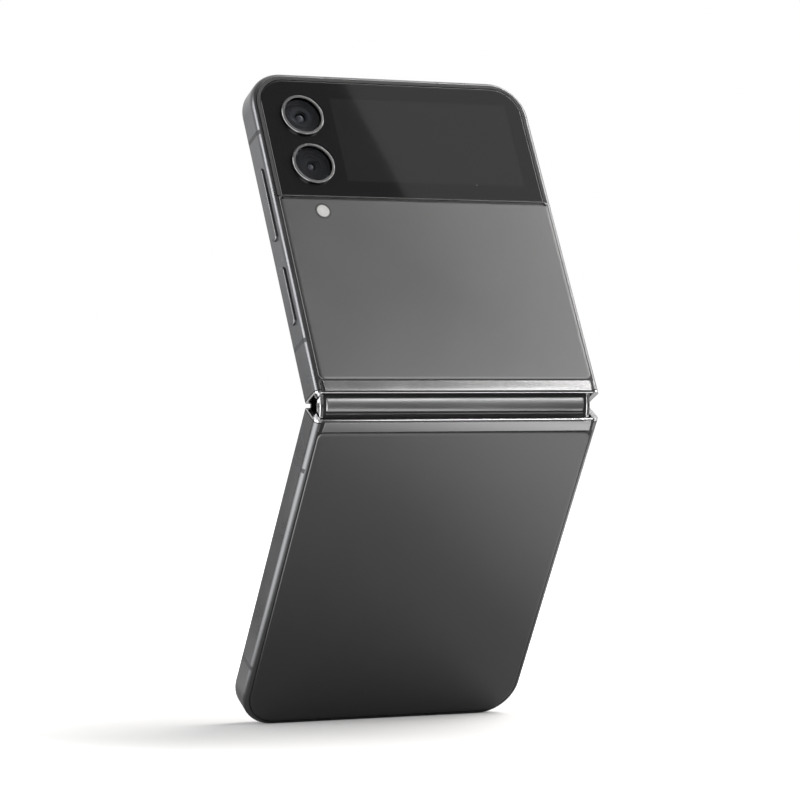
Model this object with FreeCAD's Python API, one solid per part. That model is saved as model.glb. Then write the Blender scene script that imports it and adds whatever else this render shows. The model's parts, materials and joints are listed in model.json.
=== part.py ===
import FreeCAD, Part
import math
import os

os.makedirs("parts", exist_ok=True)
V = FreeCAD.Vector

# Every piece of a half is drawn in that half's own frame: x runs across the phone,
# y is the height above the back face, z is the distance from the fold line.
# The two halves turn about two pivots that lie side by side near the display.

# Outside of one half
phone_width = 71.9
half_length = 82.6
half_thickness = 6.9
corner_radius = 9.0
back_rounding = 1.35
front_rounding = 0.8
frame_rim_height = 0.3
fold_seam = 0.15
tip_setback = 0.9

# Opening of the phone in its rest pose, each half measured from the vertical
upper_tilt_deg = 27.2
lower_tilt_deg = 30.7
right_angle_deg = 90.0
full_turn_deg = 360.0

# Hinge
pivot_from_fold = 2.4
pivot_height = 6.0
lip_thickness = 1.0
running_gap = 0.3
spine_wall = 0.5
spine_blend_deg = 16.0
spine_side_deg = 56.0
spine_end_cap = 1.1
spine_groove_width = 0.7
spine_groove_depth = 0.25
cheek_wall = 1.45
overrun = 2.0
slight_overrun = 0.5
level_share = 0.1
rounding_share = 0.25
round_share = 0.67
edge_gap = 0.1
sheet_gap = 0.05

# Walls, glass and display
side_wall = 1.9
bezel_wall = 1.2
mid_plate_bottom = 4.7
mid_plate_thickness = 0.6
glass_inset = 1.1
glass_thickness = 0.6
glass_edge_rounding = 0.45
glass_start = 3.0
glass_seam = 0.12
adhesive_thickness = 0.12
trim_seam = 0.45
plate_start = 8.6
display_thickness = 0.6
display_back_height = 5.9
wing_plate_thickness = 0.35
wing_plate_start = 1.1
wing_strip = 0.9
bezel_width = 1.9

# Cover window and its display
window_length = 32.8
window_seam = 0.1
gasket_width = 0.9
gasket_depth = 0.12
cover_display_from_side = 6.0
cover_display_from_camera = 3.15
cover_display_length = 22.0
cover_display_from_end = 6.7
cover_display_thickness = 0.45
cover_display_corner = 1.4

# Cameras on the back
camera_from_side = 11.65
camera_from_end = 11.8
camera_spacing = 12.8
camera_ring_radius = 5.2
camera_ring_wall = 0.65
camera_ring_rise = 0.75
camera_ring_rounding = 0.2
camera_glass_thickness = 0.5
camera_glass_recess = 0.15
camera_body_side = 8.6
camera_body_height = 3.3
camera_lens_radius = 2.1
flash_from_camera = 12.1
flash_radius = 1.8
flash_thickness = 0.9

# Keys and the card tray
key_width = 2.3
key_proud = 0.55
key_depth = 1.0
key_height = 3.2
key_gap = 0.12
key_travel = 0.3
key_stem_width = 1.0
key_rounding = 0.3
volume_place_share = 0.592
volume_length = 18.3
power_place_share = 0.31
power_length = 14.2
tray_from_end = 26.1
tray_length = 16.0
tray_thickness = 2.0
tray_depth = 14.0
tray_rim = 1.3
tray_height = 2.4
card_length = 12.3
card_thickness = 0.67

# Aerial bands across the side rails
band_from_fold = 13.3
band_from_end = 16.0
band_width = 1.1
band_depth = 0.6

# Socket in the bottom edge and the speaker beside it
socket_width = 8.94
socket_height = 3.16
socket_wall = 0.3
socket_depth = 6.6
socket_tongue_width = 6.7
socket_tongue_thickness = 0.7
socket_tongue_length = 4.6
port_height = 3.2
speaker_hole_width = 1.2
speaker_hole_share = 0.72
speaker_last_from_side = 10.95
speaker_first_hole = 9.0
speaker_hole_count = 6
microphone_radius = 0.5
microphone_across = -10.5
front_camera_radius = 1.9
front_camera_from_top = 5.4
earpiece_length = 9.0
earpiece_width = 0.7
mesh_thickness = 0.2

# Sizes that follow from the ones above
half_width = phone_width / 2
fold_half_deg = (upper_tilt_deg + lower_tilt_deg) / 2
spine_turn_deg = (lower_tilt_deg - upper_tilt_deg) / 2
mid_plate_top = mid_plate_bottom + mid_plate_thickness
display_front_height = display_back_height + display_thickness
display_middle_height = display_back_height + display_thickness / 2
glass_top_of_seat = glass_thickness + adhesive_thickness
spine_length = phone_width - 2 * (cheek_wall + running_gap)
spine_back = lip_thickness + running_gap
spine_depth = pivot_height - spine_back
trim_end = glass_start - glass_seam
window_end = half_length - window_length
camera_across = camera_from_side - half_width
camera_places = [half_length - camera_from_end, half_length - camera_from_end - camera_spacing]
flash_place = camera_places[1] - flash_from_camera
cover_display_start = camera_across + camera_ring_radius + cover_display_from_camera
cover_display_end = half_width - cover_display_from_side
volume_place = half_length * volume_place_share
power_place = half_length * power_place_share
tray_place = half_length - tray_from_end
band_places = [band_from_fold, half_length - band_from_end]
across = V(1, 0, 0)
up_from_back = V(0, 1, 0)
along = V(0, 0, 1)


def extrude_across(points, start, end):
    """A solid whose outline lies in the height and length directions."""
    corners = [V(start, height, place) for place, height in points]
    face = Part.Face(Part.makePolygon(corners + corners[:1]))
    return face.extrude(across * (end - start))


def block(start, end, low, high, near, far):
    """A plain block between two places across, two heights and two places along."""
    return Part.makeBox(end - start, high - low, far - near, V(start, low, near))


def disc(place_across, place_along, radius, low, high):
    """A round piece that stands up from the back face."""
    return Part.makeCylinder(radius, high - low, V(place_across, low, place_along), up_from_back)


def outline_wire(start, end, near, far, near_corner, far_corner, height):
    """A closed rectangle with rounded corners, parallel to the back face."""
    bulge = 1 - math.cos(math.pi / 4)
    edges = []
    if far_corner:
        left = (V(start, height, far - far_corner), V(start + far_corner, height, far))
        middle = V(start + far_corner * bulge, height, far - far_corner * bulge)
        edges.append(Part.Arc(left[0], middle, left[1]).toShape())
        right = (V(end - far_corner, height, far), V(end, height, far - far_corner))
        middle = V(end - far_corner * bulge, height, far - far_corner * bulge)
        edges.append(Part.LineSegment(left[1], right[0]).toShape())
        edges.append(Part.Arc(right[0], middle, right[1]).toShape())
    else:
        left = (V(start, height, far), V(start, height, far))
        right = (V(end, height, far), V(end, height, far))
        edges.append(Part.LineSegment(left[1], right[0]).toShape())
    if near_corner:
        low_right = (V(end, height, near + near_corner), V(end - near_corner, height, near))
        middle = V(end - near_corner * bulge, height, near + near_corner * bulge)
        edges.append(Part.LineSegment(right[1], low_right[0]).toShape())
        edges.append(Part.Arc(low_right[0], middle, low_right[1]).toShape())
        low_left = (V(start + near_corner, height, near), V(start, height, near + near_corner))
        middle = V(start + near_corner * bulge, height, near + near_corner * bulge)
        edges.append(Part.LineSegment(low_right[1], low_left[0]).toShape())
        edges.append(Part.Arc(low_left[0], middle, low_left[1]).toShape())
        edges.append(Part.LineSegment(low_left[1], left[0]).toShape())
    else:
        edges.append(Part.LineSegment(right[1], V(end, height, near)).toShape())
        edges.append(Part.LineSegment(V(end, height, near), V(start, height, near)).toShape())
        edges.append(Part.LineSegment(V(start, height, near), left[0]).toShape())
    return Part.Wire(edges)


def slab(start, end, near, far, low, high, far_corner, near_corner=0):
    """A flat plate with rounded corners between two heights."""
    wire = outline_wire(start, end, near, far, near_corner, far_corner, low)
    return Part.Face(wire).extrude(up_from_back * (high - low))


def edges_at_height(shape, height, skip_place=None):
    """The edges that lie flat at one height, apart from those on one straight end."""
    found = []
    for edge in shape.Edges:
        box = edge.BoundBox
        near_enough = frame_rim_height * level_share
        flat = abs(box.YMin - height) < near_enough and abs(box.YMax - height) < near_enough
        if not flat:
            continue
        if skip_place is not None and abs(box.ZMin - skip_place) < fold_seam and box.ZLength < fold_seam:
            continue
        found.append(edge)
    return found


def turn_to(shape, degrees, pivot_height_here, pivot_along):
    """The same shape turned about a line that runs across the phone."""
    moved = shape.copy()
    moved.rotate(V(0, pivot_height_here, pivot_along), across, degrees)
    return moved


def at_upper(shape):
    """The place of an upper piece in the rest pose, before the phone is stood up."""
    return turn_to(shape, -fold_half_deg, pivot_height, pivot_from_fold)


def at_lower(shape):
    """The same for a lower piece, which is drawn as an upper one and mirrored."""
    mirrored = shape.mirror(V(0, 0, 0), along)
    return turn_to(mirrored, fold_half_deg, pivot_height, -pivot_from_fold)


def hinge_hollow():
    """The space at the fold in which the spine lies while the phone is open."""
    radius = pivot_height - lip_thickness
    reach = half_width - cheek_wall
    bottom = disc_across(pivot_height, pivot_from_fold, radius, -reach, reach)
    front = block(-reach, reach, lip_thickness, half_thickness + overrun, -overrun, pivot_from_fold)
    above = block(-reach, reach, pivot_height, half_thickness + overrun, 0, pivot_from_fold + radius)
    floor = block(-reach, reach, lip_thickness, half_thickness + overrun, -radius, pivot_from_fold + radius)
    return bottom.common(floor).fuse([front, above])


def disc_across(height, place_along, radius, start, end):
    """A round bar that runs across the phone."""
    return Part.makeCylinder(radius, end - start, V(start, height, place_along), across)


def half_frame():
    """The metal rail and middle plate of one half, before the parts that differ are cut."""
    body = slab(-half_width, half_width, fold_seam, half_length, frame_rim_height, half_thickness, corner_radius)
    body = body.makeFillet(back_rounding, edges_at_height(body, frame_rim_height, fold_seam))
    body = body.makeFillet(front_rounding, edges_at_height(body, half_thickness, fold_seam))
    inner = half_width - side_wall
    far = half_length - side_wall
    corner = corner_radius - side_wall
    back_room = slab(-inner, inner, plate_start, far, -overrun, mid_plate_bottom, corner)
    front_inner = half_width - bezel_wall
    front_far = half_length - bezel_wall
    front_corner = corner_radius - bezel_wall
    front_room = slab(-front_inner, front_inner, -overrun, front_far, mid_plate_top,
                      half_thickness + overrun, front_corner)
    seat = half_width - glass_inset
    glass_room = slab(-seat, seat, glass_start - glass_seam, half_length - glass_inset, -overrun,
                      glass_top_of_seat, corner_radius - glass_inset)
    reach = half_width - cheek_wall
    trim_room = block(-reach, reach, -overrun, lip_thickness, -overrun, trim_end)
    tip = [(fold_seam - overrun, pivot_height), (fold_seam, pivot_height),
           (tip_setback, half_thickness), (tip_setback, half_thickness + overrun),
           (fold_seam - overrun, half_thickness + overrun)]
    tip_cut = extrude_across(tip, -half_width - overrun, half_width + overrun)
    return body.cut([back_room, front_room, glass_room, trim_room, hinge_hollow(), tip_cut] + module_rooms())


def band_slots():
    """The cuts across both side rails that part the rail into aerials."""
    slots = []
    for place in band_places:
        near = place - band_width / 2
        for side in (-1, 1):
            start = min(side * half_width, side * (half_width - band_depth))
            slots.append(block(start, start + band_depth, 0, half_thickness, near, near + band_width))
    return slots


def split_bands(frame):
    """The rail with its slots cut, and the plastic that fills them."""
    slots = band_slots()
    bands = Part.makeCompound([slot.common(frame) for slot in slots])
    return frame.cut(slots), bands


def back_glass(start, end_place, inset):
    """The back panel of a half, curved down at its long edges."""
    seat = half_width - glass_inset - glass_seam - inset
    far = half_length - glass_inset - glass_seam - inset
    corner = corner_radius - glass_inset - glass_seam - inset
    panel = slab(-seat, seat, start, min(far, end_place), 0, glass_thickness, corner if end_place > far else 0)
    long_edges = []
    for edge in edges_at_height(panel, 0):
        box = edge.BoundBox
        at_side = box.ZLength > glass_thickness or abs(box.ZMax - far) < glass_seam
        if at_side:
            long_edges.append(edge)
    return panel.makeFillet(glass_edge_rounding, long_edges)


def window_gasket():
    """The black rim that seals the cover window against the rail, a little lower than the glass."""
    seat = half_width - glass_inset - glass_seam
    far = half_length - glass_inset - glass_seam
    corner = corner_radius - glass_inset - glass_seam
    rim = slab(-seat, seat, window_end, far, gasket_depth, glass_thickness, corner)
    inner = seat - gasket_width + glass_seam / 2
    room = slab(-inner, inner, window_end - overrun, far - gasket_width + glass_seam / 2, -overrun,
                glass_thickness + overrun, corner - gasket_width)
    return rim.cut(room)


def hinge_trim():
    """The polished lip of a half along the fold."""
    reach = half_width - cheek_wall - trim_seam
    lip = block(-reach, reach, 0, lip_thickness, fold_seam, trim_end)
    rounding = lip_thickness * rounding_share
    corner = [edge for edge in edges_at_height(lip, 0) if edge.BoundBox.ZMax < fold_seam + rounding
              and edge.BoundBox.XLength > reach]
    return lip.makeFillet(rounding, corner)


def inner_bezel():
    """The thin plastic rim that holds down the edge of the folding display."""
    outer = half_width - bezel_wall - edge_gap
    far = half_length - bezel_wall - edge_gap
    corner = corner_radius - bezel_wall
    reach = display_fold_reach()[1]
    rim = slab(-outer, outer, reach + inside_gap, far, display_front_height, half_thickness, corner)
    inner = outer - bezel_width
    window = slab(-inner, inner, -overrun, far - bezel_width,
                  0, half_thickness + overrun, corner - bezel_width)
    return rim.cut(window)


def display_fold_reach():
    """Where the bent stretch of the display meets the flat stretch, in the rest pose."""
    fold = math.radians(fold_half_deg)
    above = display_middle_height - pivot_height
    beyond = pivot_from_fold * (1 / math.cos(fold) - 1) - above * math.tan(fold)
    radius = beyond / (math.tan(fold) - fold)
    return radius, radius * fold, beyond


def display_panel():
    """The flat stretch of the folding display, bonded to the middle plate."""
    reach = display_fold_reach()[1]
    wide = half_width - bezel_wall - running_gap
    far = half_length - bezel_wall - running_gap
    return slab(-wide, wide, reach, far, display_back_height, display_front_height, corner_radius - bezel_wall)


def display_plate():
    """The stiff sheet that carries the display on the middle plate."""
    wide = half_width - bezel_wall - running_gap
    far = half_length - bezel_wall - running_gap
    return slab(-wide, wide, plate_start, far, mid_plate_top, display_back_height, corner_radius - bezel_wall)


def wing_plate():
    """The thin plate under the bent stretch, which swings with its half."""
    wide = half_width - bezel_wall - running_gap
    high = display_back_height - sheet_gap
    whole = block(-wide, wide, high - wing_plate_thickness, high, wing_plate_start, plate_start)
    notches = []
    for start in module_starts:
        low = start + gear_inset - gear_room
        notches.append(block(low, low + gear_width + 2 * gear_room, 0, half_thickness,
                             0, plate_start - wing_strip))
    return whole.cut(notches)


def display_fold_zone():
    """The bent stretch of the display in the rest pose."""
    fold_shape = display_fold_reach()
    radius, beyond = fold_shape[0], fold_shape[2]
    fold = math.radians(fold_half_deg)
    crossing_along = -beyond - pivot_from_fold
    crossing_above = display_middle_height - pivot_height
    crossing = pivot_height + crossing_along * math.sin(fold) + crossing_above * math.cos(fold)
    centre = crossing + radius / math.cos(fold)
    wide = half_width - bezel_wall - running_gap
    outside = arc_sector(centre, radius + display_thickness / 2, wide)
    inside = disc_across(centre, 0, radius - display_thickness / 2, -wide - overrun, wide + overrun)
    return outside.cut(inside)


def arc_sector(centre, radius, wide):
    """A wedge of a round bar, as wide as the fold of the phone."""
    fold = math.radians(fold_half_deg)
    low = V(-wide, centre - radius, 0)
    left = V(-wide, centre - radius * math.cos(fold), -radius * math.sin(fold))
    right = V(-wide, centre - radius * math.cos(fold), radius * math.sin(fold))
    middle = V(-wide, centre, 0)
    wire = Part.Wire([Part.Arc(left, low, right).toShape(),
                      Part.LineSegment(right, middle).toShape(),
                      Part.LineSegment(middle, left).toShape()])
    return Part.Face(wire).extrude(across * (2 * wide))


def spine_section(inset, place_across):
    """The outline of the spine cover: a shallow crown that runs into arcs about both pivots."""
    blend = math.radians(spine_blend_deg)
    side = math.radians(spine_side_deg)
    crown = spine_depth + pivot_from_fold / math.tan(blend) - inset
    crown_centre = spine_back + inset + crown
    flank = spine_depth - pivot_from_fold * math.tan(blend / 2) - inset

    def on_flank(angle, sign):
        return V(place_across, pivot_height - flank * math.cos(angle),
                 sign * (pivot_from_fold + flank * math.sin(angle)))

    left_top, right_top = on_flank(side, -1), on_flank(side, 1)
    left_low, right_low = on_flank(blend, -1), on_flank(blend, 1)
    between = (blend + side) / 2
    edges = [Part.Arc(left_top, on_flank(between, -1), left_low).toShape(),
             Part.Arc(left_low, V(place_across, crown_centre - crown, 0), right_low).toShape(),
             Part.Arc(right_low, on_flank(between, 1), right_top).toShape(),
             Part.LineSegment(right_top, left_top).toShape()]
    return Part.Face(Part.Wire(edges))


def spine_bar(inset, start, end):
    """A solid bar with the spine's section."""
    return spine_section(inset, start).extrude(across * (end - start))


def spine_cover():
    """The hollow metal cover that shows at the back of the fold, with a groove near each end."""
    reach = spine_length / 2 - spine_end_cap
    step = reach - spine_groove_width
    body = spine_bar(spine_groove_depth, -reach, reach).fuse(spine_bar(0, -step, step))
    return body.cut(spine_bar(spine_wall, -reach - overrun, reach + overrun))


def spine_end_caps():
    """The two caps that close the ends of the spine."""
    reach = spine_length / 2
    caps = []
    for side in (-1, 1):
        start = min(side * reach, side * (reach - spine_end_cap))
        caps.append(spine_bar(0, start, start + spine_end_cap))
    return Part.makeCompound(caps)


def key_cap(place, length):
    """A side key: a rounded cap that stands out of the rail, on a narrower stem."""
    face = -half_width - key_proud
    inside = -half_width + key_depth
    near, far = place - length / 2, place + length / 2
    low, high = key_height - key_width / 2, key_height + key_width / 2
    cap = block(face, inside, low, high, near, far)
    corners = [edge for edge in cap.Edges if edge.BoundBox.XLength > key_depth]
    cap = cap.makeFillet(key_width / 2 - key_rounding / 2, corners)
    front = [edge for edge in cap.Edges if edge.BoundBox.XMax < face + key_rounding / 2]
    cap = cap.makeFillet(key_rounding, front)
    stem_end = -half_width + side_wall + key_travel
    stem = block(inside, stem_end, key_height - key_stem_width / 2, key_height + key_stem_width / 2,
                 place - key_stem_width, place + key_stem_width)
    return cap.fuse(stem)


def key_pocket(place, length):
    """The room that a side key and its stem take in the rail."""
    inside = -half_width + key_depth + key_travel + key_gap
    half_wide = key_width / 2 + key_gap
    half_long = length / 2 + key_gap
    room = block(-half_width - overrun, inside, key_height - half_wide, key_height + half_wide,
                 place - half_long, place + half_long)
    corners = [edge for edge in room.Edges if edge.BoundBox.XLength > overrun]
    room = room.makeFillet(half_wide - key_rounding / 2, corners)
    hole_half = key_stem_width / 2 + key_gap
    hole = block(-half_width, -half_width + side_wall + slight_overrun, key_height - hole_half,
                 key_height + hole_half, place - key_stem_width - key_gap, place + key_stem_width + key_gap)
    return room.fuse(hole)


def key_switches():
    """The small dome switches behind the keys, on a strip along the rail."""
    start = -half_width + side_wall + key_travel * 2
    pieces = []
    for place, length in ((volume_place, volume_length), (power_place, power_length)):
        pieces.append(block(start, start + key_rounding, key_height - key_stem_width / 2,
                            key_height + key_stem_width / 2, place - length / 2, place + length / 2))
    return pieces


def card_tray():
    """The card tray: a face plate in the rail, and a frame with a window for the card."""
    outer = half_width
    low, high = tray_height - tray_thickness / 2, tray_height + tray_thickness / 2
    near, far = tray_place - tray_length / 2, tray_place + tray_length / 2
    face = block(outer - tray_rim, outer, low, high, near, far)
    corners = [edge for edge in face.Edges if edge.BoundBox.XLength > tray_rim / 2]
    face = face.makeFillet(tray_thickness / 2 - key_rounding / 2, corners)
    level = tray_height - card_thickness
    room = (tray_length - card_length) / 2 - tray_rim
    frame = block(outer - tray_depth, outer - tray_rim, level, tray_height + card_thickness,
                  near + room, far - room)
    window = block(outer - tray_depth + tray_rim, outer - tray_rim * 2, tray_height - card_thickness / 2,
                   tray_height + card_thickness * 2, tray_place - card_length / 2, tray_place + card_length / 2)
    return face.fuse(frame).cut(window)


def tray_slot(gap):
    """The slot in the rail that the tray slides through."""
    low, high = tray_height - tray_thickness / 2 - gap, tray_height + tray_thickness / 2 + gap
    near, far = tray_place - tray_length / 2 - gap, tray_place + tray_length / 2 + gap
    slot = block(half_width - side_wall - slight_overrun, half_width + overrun, low, high, near, far)
    corners = [edge for edge in slot.Edges if edge.BoundBox.XLength > overrun]
    return slot.makeFillet(tray_thickness / 2 - key_rounding / 2, corners)


def camera_ring(place):
    """The metal ring round one camera, proud of the window."""
    outer = disc(camera_across, place, camera_ring_radius, -camera_ring_rise, glass_thickness)
    top = edges_at_height(outer, -camera_ring_rise)
    outer = outer.makeFillet(camera_ring_rounding, top)
    inner_radius = camera_ring_radius - camera_ring_wall
    return outer.cut(disc(camera_across, place, inner_radius,
                          -camera_ring_rise - overrun, glass_thickness + overrun))


def camera_glass(place):
    """The flat cover glass inside a camera ring."""
    radius = camera_ring_radius - camera_ring_wall
    start = -camera_ring_rise + camera_glass_recess
    return disc(camera_across, place, radius, start, start + camera_glass_thickness)


def camera_body(place):
    """The camera itself: a square body with a stepped round barrel."""
    side = camera_body_side / 2
    low = glass_top_of_seat
    body = slab(camera_across - side, camera_across + side, place - side, place + side, low,
                low + camera_body_height, key_rounding * 2, key_rounding * 2)
    barrel = disc(camera_across, place, camera_body_side / 2 - camera_ring_wall, glass_thickness / 3, low)
    start = -camera_ring_rise + camera_glass_recess + camera_glass_thickness + key_gap
    nose = disc(camera_across, place, camera_lens_radius + camera_ring_wall, start, low)
    lens = Part.makeSphere(camera_lens_radius * 2, V(camera_across, start + camera_lens_radius * 2, place))
    dimple = disc(camera_across, place, camera_lens_radius, start - overrun, start + camera_ring_wall / 2)
    return body.fuse([barrel, nose]).cut(dimple).fuse(lens.common(dimple))

# Sizes of the pieces inside the halves
inside_gap = 0.2
board_thickness = 0.7
battery_gap = 3.0
board_shield_height = 1.1
upper_battery_start = 15.0
upper_battery_from_side = 8.95
lower_battery_start = 17.0
lower_battery_from_end = 20.6
lower_battery_from_side = 6.95
battery_corner = 1.5
coil_outer_radius = 19.0
coil_inner_radius = 10.0
coil_thickness = 0.35
speaker_box_length = 14.0
magnet_width = 1.6
magnet_length = 8.0
magnet_thickness = 1.6
motor_radius = 4.0
motor_height = 2.6
motor_from_side = 9.9
motor_from_end = 11.6
receiver_length = 11.0
receiver_width = 4.2
receiver_height = 2.2

# Sizes that follow for the pieces inside
upper_battery_end = tray_place - tray_length / 2 - edge_gap * battery_gap / running_gap
board_start = upper_battery_end + battery_gap
lower_battery_end = half_length - lower_battery_from_end
sub_board_start = lower_battery_end + battery_gap
speaker_hole_pitch = (half_width - speaker_last_from_side - speaker_first_hole) / (speaker_hole_count - 1)
speaker_hole_length = speaker_hole_pitch * speaker_hole_share
speaker_box_start = speaker_first_hole - speaker_hole_length


def battery(start, end, from_side, low):
    """A flat pouch cell with rounded corners."""
    half_wide = half_width - from_side
    return slab(-half_wide, half_wide, start, end, low, mid_plate_bottom - inside_gap, battery_corner, battery_corner)


def main_board():
    """The main circuit board, cut out round the cameras, with its shield cans."""
    wide = half_width - side_wall - inside_gap
    far = half_length - side_wall - inside_gap
    low = mid_plate_bottom - board_thickness - inside_gap / 2
    corner = corner_radius - side_wall
    board = slab(-wide, wide, board_start, far, low, low + board_thickness, corner, battery_corner)
    side = camera_body_side / 2 + inside_gap
    near, top = camera_places[1] - side, camera_places[0] + side
    opening = block(camera_across - side, camera_across + side, 0, half_thickness, near, top)
    hole = disc(0, half_length - front_camera_from_top, front_camera_radius * 2 - key_gap, 0, half_thickness)
    shield_low = low - board_shield_height
    shield = slab(-wide / 2, wide / 2, board_start + battery_corner, camera_places[0] - battery_corner,
                  shield_low, low, battery_corner, battery_corner)
    return board.fuse(shield).cut([opening, hole])


def card_reader():
    """The metal hood over the card, fixed to the main board."""
    near, far = tray_place - tray_length / 2, tray_place + tray_length / 2
    low = mid_plate_bottom - board_thickness - inside_gap / 2
    start = half_width - tray_depth
    roof = tray_height + card_thickness + running_gap
    return block(start, half_width - side_wall - inside_gap, roof, low, near, far)


def front_camera():
    """The camera that looks out through a hole near the top of the display."""
    place = half_length - front_camera_from_top
    body = disc(0, place, front_camera_radius * 2 - inside_gap * 2, glass_top_of_seat + inside_gap * 2,
                mid_plate_bottom - inside_gap)
    return body.fuse(disc(0, place, front_camera_radius, mid_plate_bottom - inside_gap, display_back_height))


def front_camera_hole(frame):
    """A plate with the hole for the nose of the front camera."""
    place = half_length - front_camera_from_top
    return frame.cut(disc(0, place, front_camera_radius + key_gap,
                          mid_plate_bottom - slight_overrun, display_back_height))


def earpiece_slot():
    """The slot at the top edge through which the receiver is heard."""
    place = half_length - bezel_wall / 2 - front_rounding / 2
    half_slot = earpiece_width / 2
    return slab(-earpiece_length / 2, earpiece_length / 2, place - half_slot, place + half_slot,
                half_thickness - overrun, half_thickness + overrun, half_slot * round_share, half_slot * round_share)


def charging_coil():
    """The flat copper winding behind the lower back panel."""
    middle = (lower_battery_start + lower_battery_end) / 2
    low = glass_top_of_seat + inside_gap
    ring = disc(0, middle, coil_outer_radius, low, low + coil_thickness)
    return ring.cut(disc(0, middle, coil_inner_radius, 0, half_thickness))


def socket_outline(width, height, near, far):
    """A bar along the phone with fully rounded sides, as the socket and its hole are."""
    bar = block(-width / 2, width / 2, port_height - height / 2, port_height + height / 2, near, far)
    corners = [edge for edge in bar.Edges if edge.BoundBox.ZLength > (far - near) / 2]
    return bar.makeFillet(height / 2 - socket_wall * level_share, corners)


def socket_shell():
    """The steel shell of the charging socket, closed at the back."""
    far = half_length - glass_inset / 2
    shell = socket_outline(socket_width, socket_height, far - socket_depth, far)
    room = socket_outline(socket_width - 2 * socket_wall, socket_height - 2 * socket_wall,
                          far - socket_depth + socket_wall, far + overrun)
    return shell.cut(room)


def socket_tongue():
    """The contact tongue in the middle of the socket."""
    near = half_length - glass_inset / 2 - socket_depth + socket_wall
    return block(-socket_tongue_width / 2, socket_tongue_width / 2, port_height - socket_tongue_thickness / 2,
                 port_height + socket_tongue_thickness / 2, near, near + socket_tongue_length)


def bottom_openings():
    """The cuts in the bottom rail for the socket, the speaker and the microphone."""
    gap = key_gap
    far = half_length + overrun
    cuts = [socket_outline(socket_width + 2 * gap, socket_height + 2 * gap,
                           half_length - glass_inset / 2 - socket_depth - gap, far)]
    for number in range(speaker_hole_count):
        middle = speaker_first_hole + number * speaker_hole_pitch
        cuts.append(rail_slot(middle, speaker_hole_length, speaker_hole_width))
    hole = Part.makeCylinder(microphone_radius, side_wall + overrun,
                             V(microphone_across, port_height, half_length - side_wall - overrun / 2), along)
    return cuts + [hole]


def rail_slot(middle, length, width):
    """A short slot with round ends through the bottom rail."""
    near, far = half_length - side_wall - overrun / 2, half_length + overrun
    bar = block(middle - length / 2, middle + length / 2,
                port_height - width / 2, port_height + width / 2, near, far)
    corners = [edge for edge in bar.Edges if edge.BoundBox.ZLength > side_wall]
    return bar.makeFillet(width / 2 - socket_wall * level_share, corners)


def speaker_mesh():
    """The dust mesh behind the speaker slots."""
    start = speaker_first_hole - speaker_hole_pitch / 2
    far = half_length - side_wall
    return block(start, start + speaker_hole_count * speaker_hole_pitch, port_height - speaker_hole_width,
                 port_height + speaker_hole_width, far - mesh_thickness, far)


def receiver():
    """The small receiver that speaks through the slot at the top edge."""
    start = front_camera_radius * 2 + inside_gap
    far = half_length - side_wall - inside_gap
    low = glass_thickness + cover_display_thickness + inside_gap
    return slab(start, start + receiver_length, far - receiver_width, far, low, low + receiver_height,
                inside_gap * 2, inside_gap * 2)


def vibration_motor():
    """The flat round motor that makes the phone buzz."""
    low = glass_top_of_seat + inside_gap * 2
    place = half_length - motor_from_end
    return disc(motor_from_side - half_width, place, motor_radius, low, low + motor_height)


def speaker_module():
    """The speaker box behind the slots."""
    far = half_length - side_wall - mesh_thickness
    start = speaker_box_start
    end = speaker_first_hole + speaker_hole_count * speaker_hole_pitch
    low = glass_top_of_seat + inside_gap
    return slab(start, min(end, half_width - corner_radius), far - speaker_box_length, far, low,
                mid_plate_bottom - inside_gap, battery_corner, battery_corner)


def sub_board():
    """The small board that carries the socket."""
    wide = half_width - side_wall - inside_gap
    far = half_length - glass_inset / 2 - socket_depth - inside_gap
    low = mid_plate_bottom - board_thickness - inside_gap / 2
    board = slab(-wide, speaker_box_start - inside_gap, sub_board_start, far, low, low + board_thickness,
                 battery_corner, battery_corner)
    return board


def magnets():
    """Two bar magnets near the free end, which hold the closed halves together."""
    pieces = []
    inner = half_width - side_wall - inside_gap
    for side in (-1, 1):
        start = side * inner if side < 0 else inner - magnet_width
        low = mid_plate_bottom - board_thickness - inside_gap - magnet_thickness
        near = tray_place + tray_length / 2 + edge_gap * battery_gap / running_gap
        pieces.append(block(start, start + magnet_width, low, low + magnet_thickness,
                            near, near + magnet_length))
    return Part.makeCompound(pieces)


# Hinge modules: a base in the spine, a gear train, and a bracket on each half
module_from_cap = 2.0
module_length = 19.0
base_top = 4.0
base_half_width = 4.4
rail_width = 2.8
rail_inner_radius = 3.0
rail_thickness = 0.6
rail_start_deg = -38.0
rail_end_deg = 66.0
rail_clearance = 0.05
rail_inset = 2.4
gear_axis_from_fold = 3.15
gear_axis_height = 3.55
gear_teeth = 14
gear_tooth_height = 0.11
gear_tooth_depth = 0.15
gear_width = 2.4
gear_inset = 6.6
gear_room = 0.2
gear_side_room = 0.13
gear_count = 4
gear_root_share = 0.62
gear_tip_share = 0.26
shaft_radius = 0.35
shaft_clearance = 0.06
shaft_hold = 0.9
arm_thickness = 0.43
arm_low = 3.72
arm_eye_radius = 0.6
arm_bend = 1.8
arm_pin_height = 3.1
arm_pin_from_fold = 9.9
cheek_width = 1.0
cheek_margin = 0.35
bracket_start = 11.2
bracket_end = 13.6
bracket_low = 2.9
bracket_top_gap = 0.05
bracket_screw_radius = 0.7
bracket_head_radius = 1.1
bracket_head_height = 0.4

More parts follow.
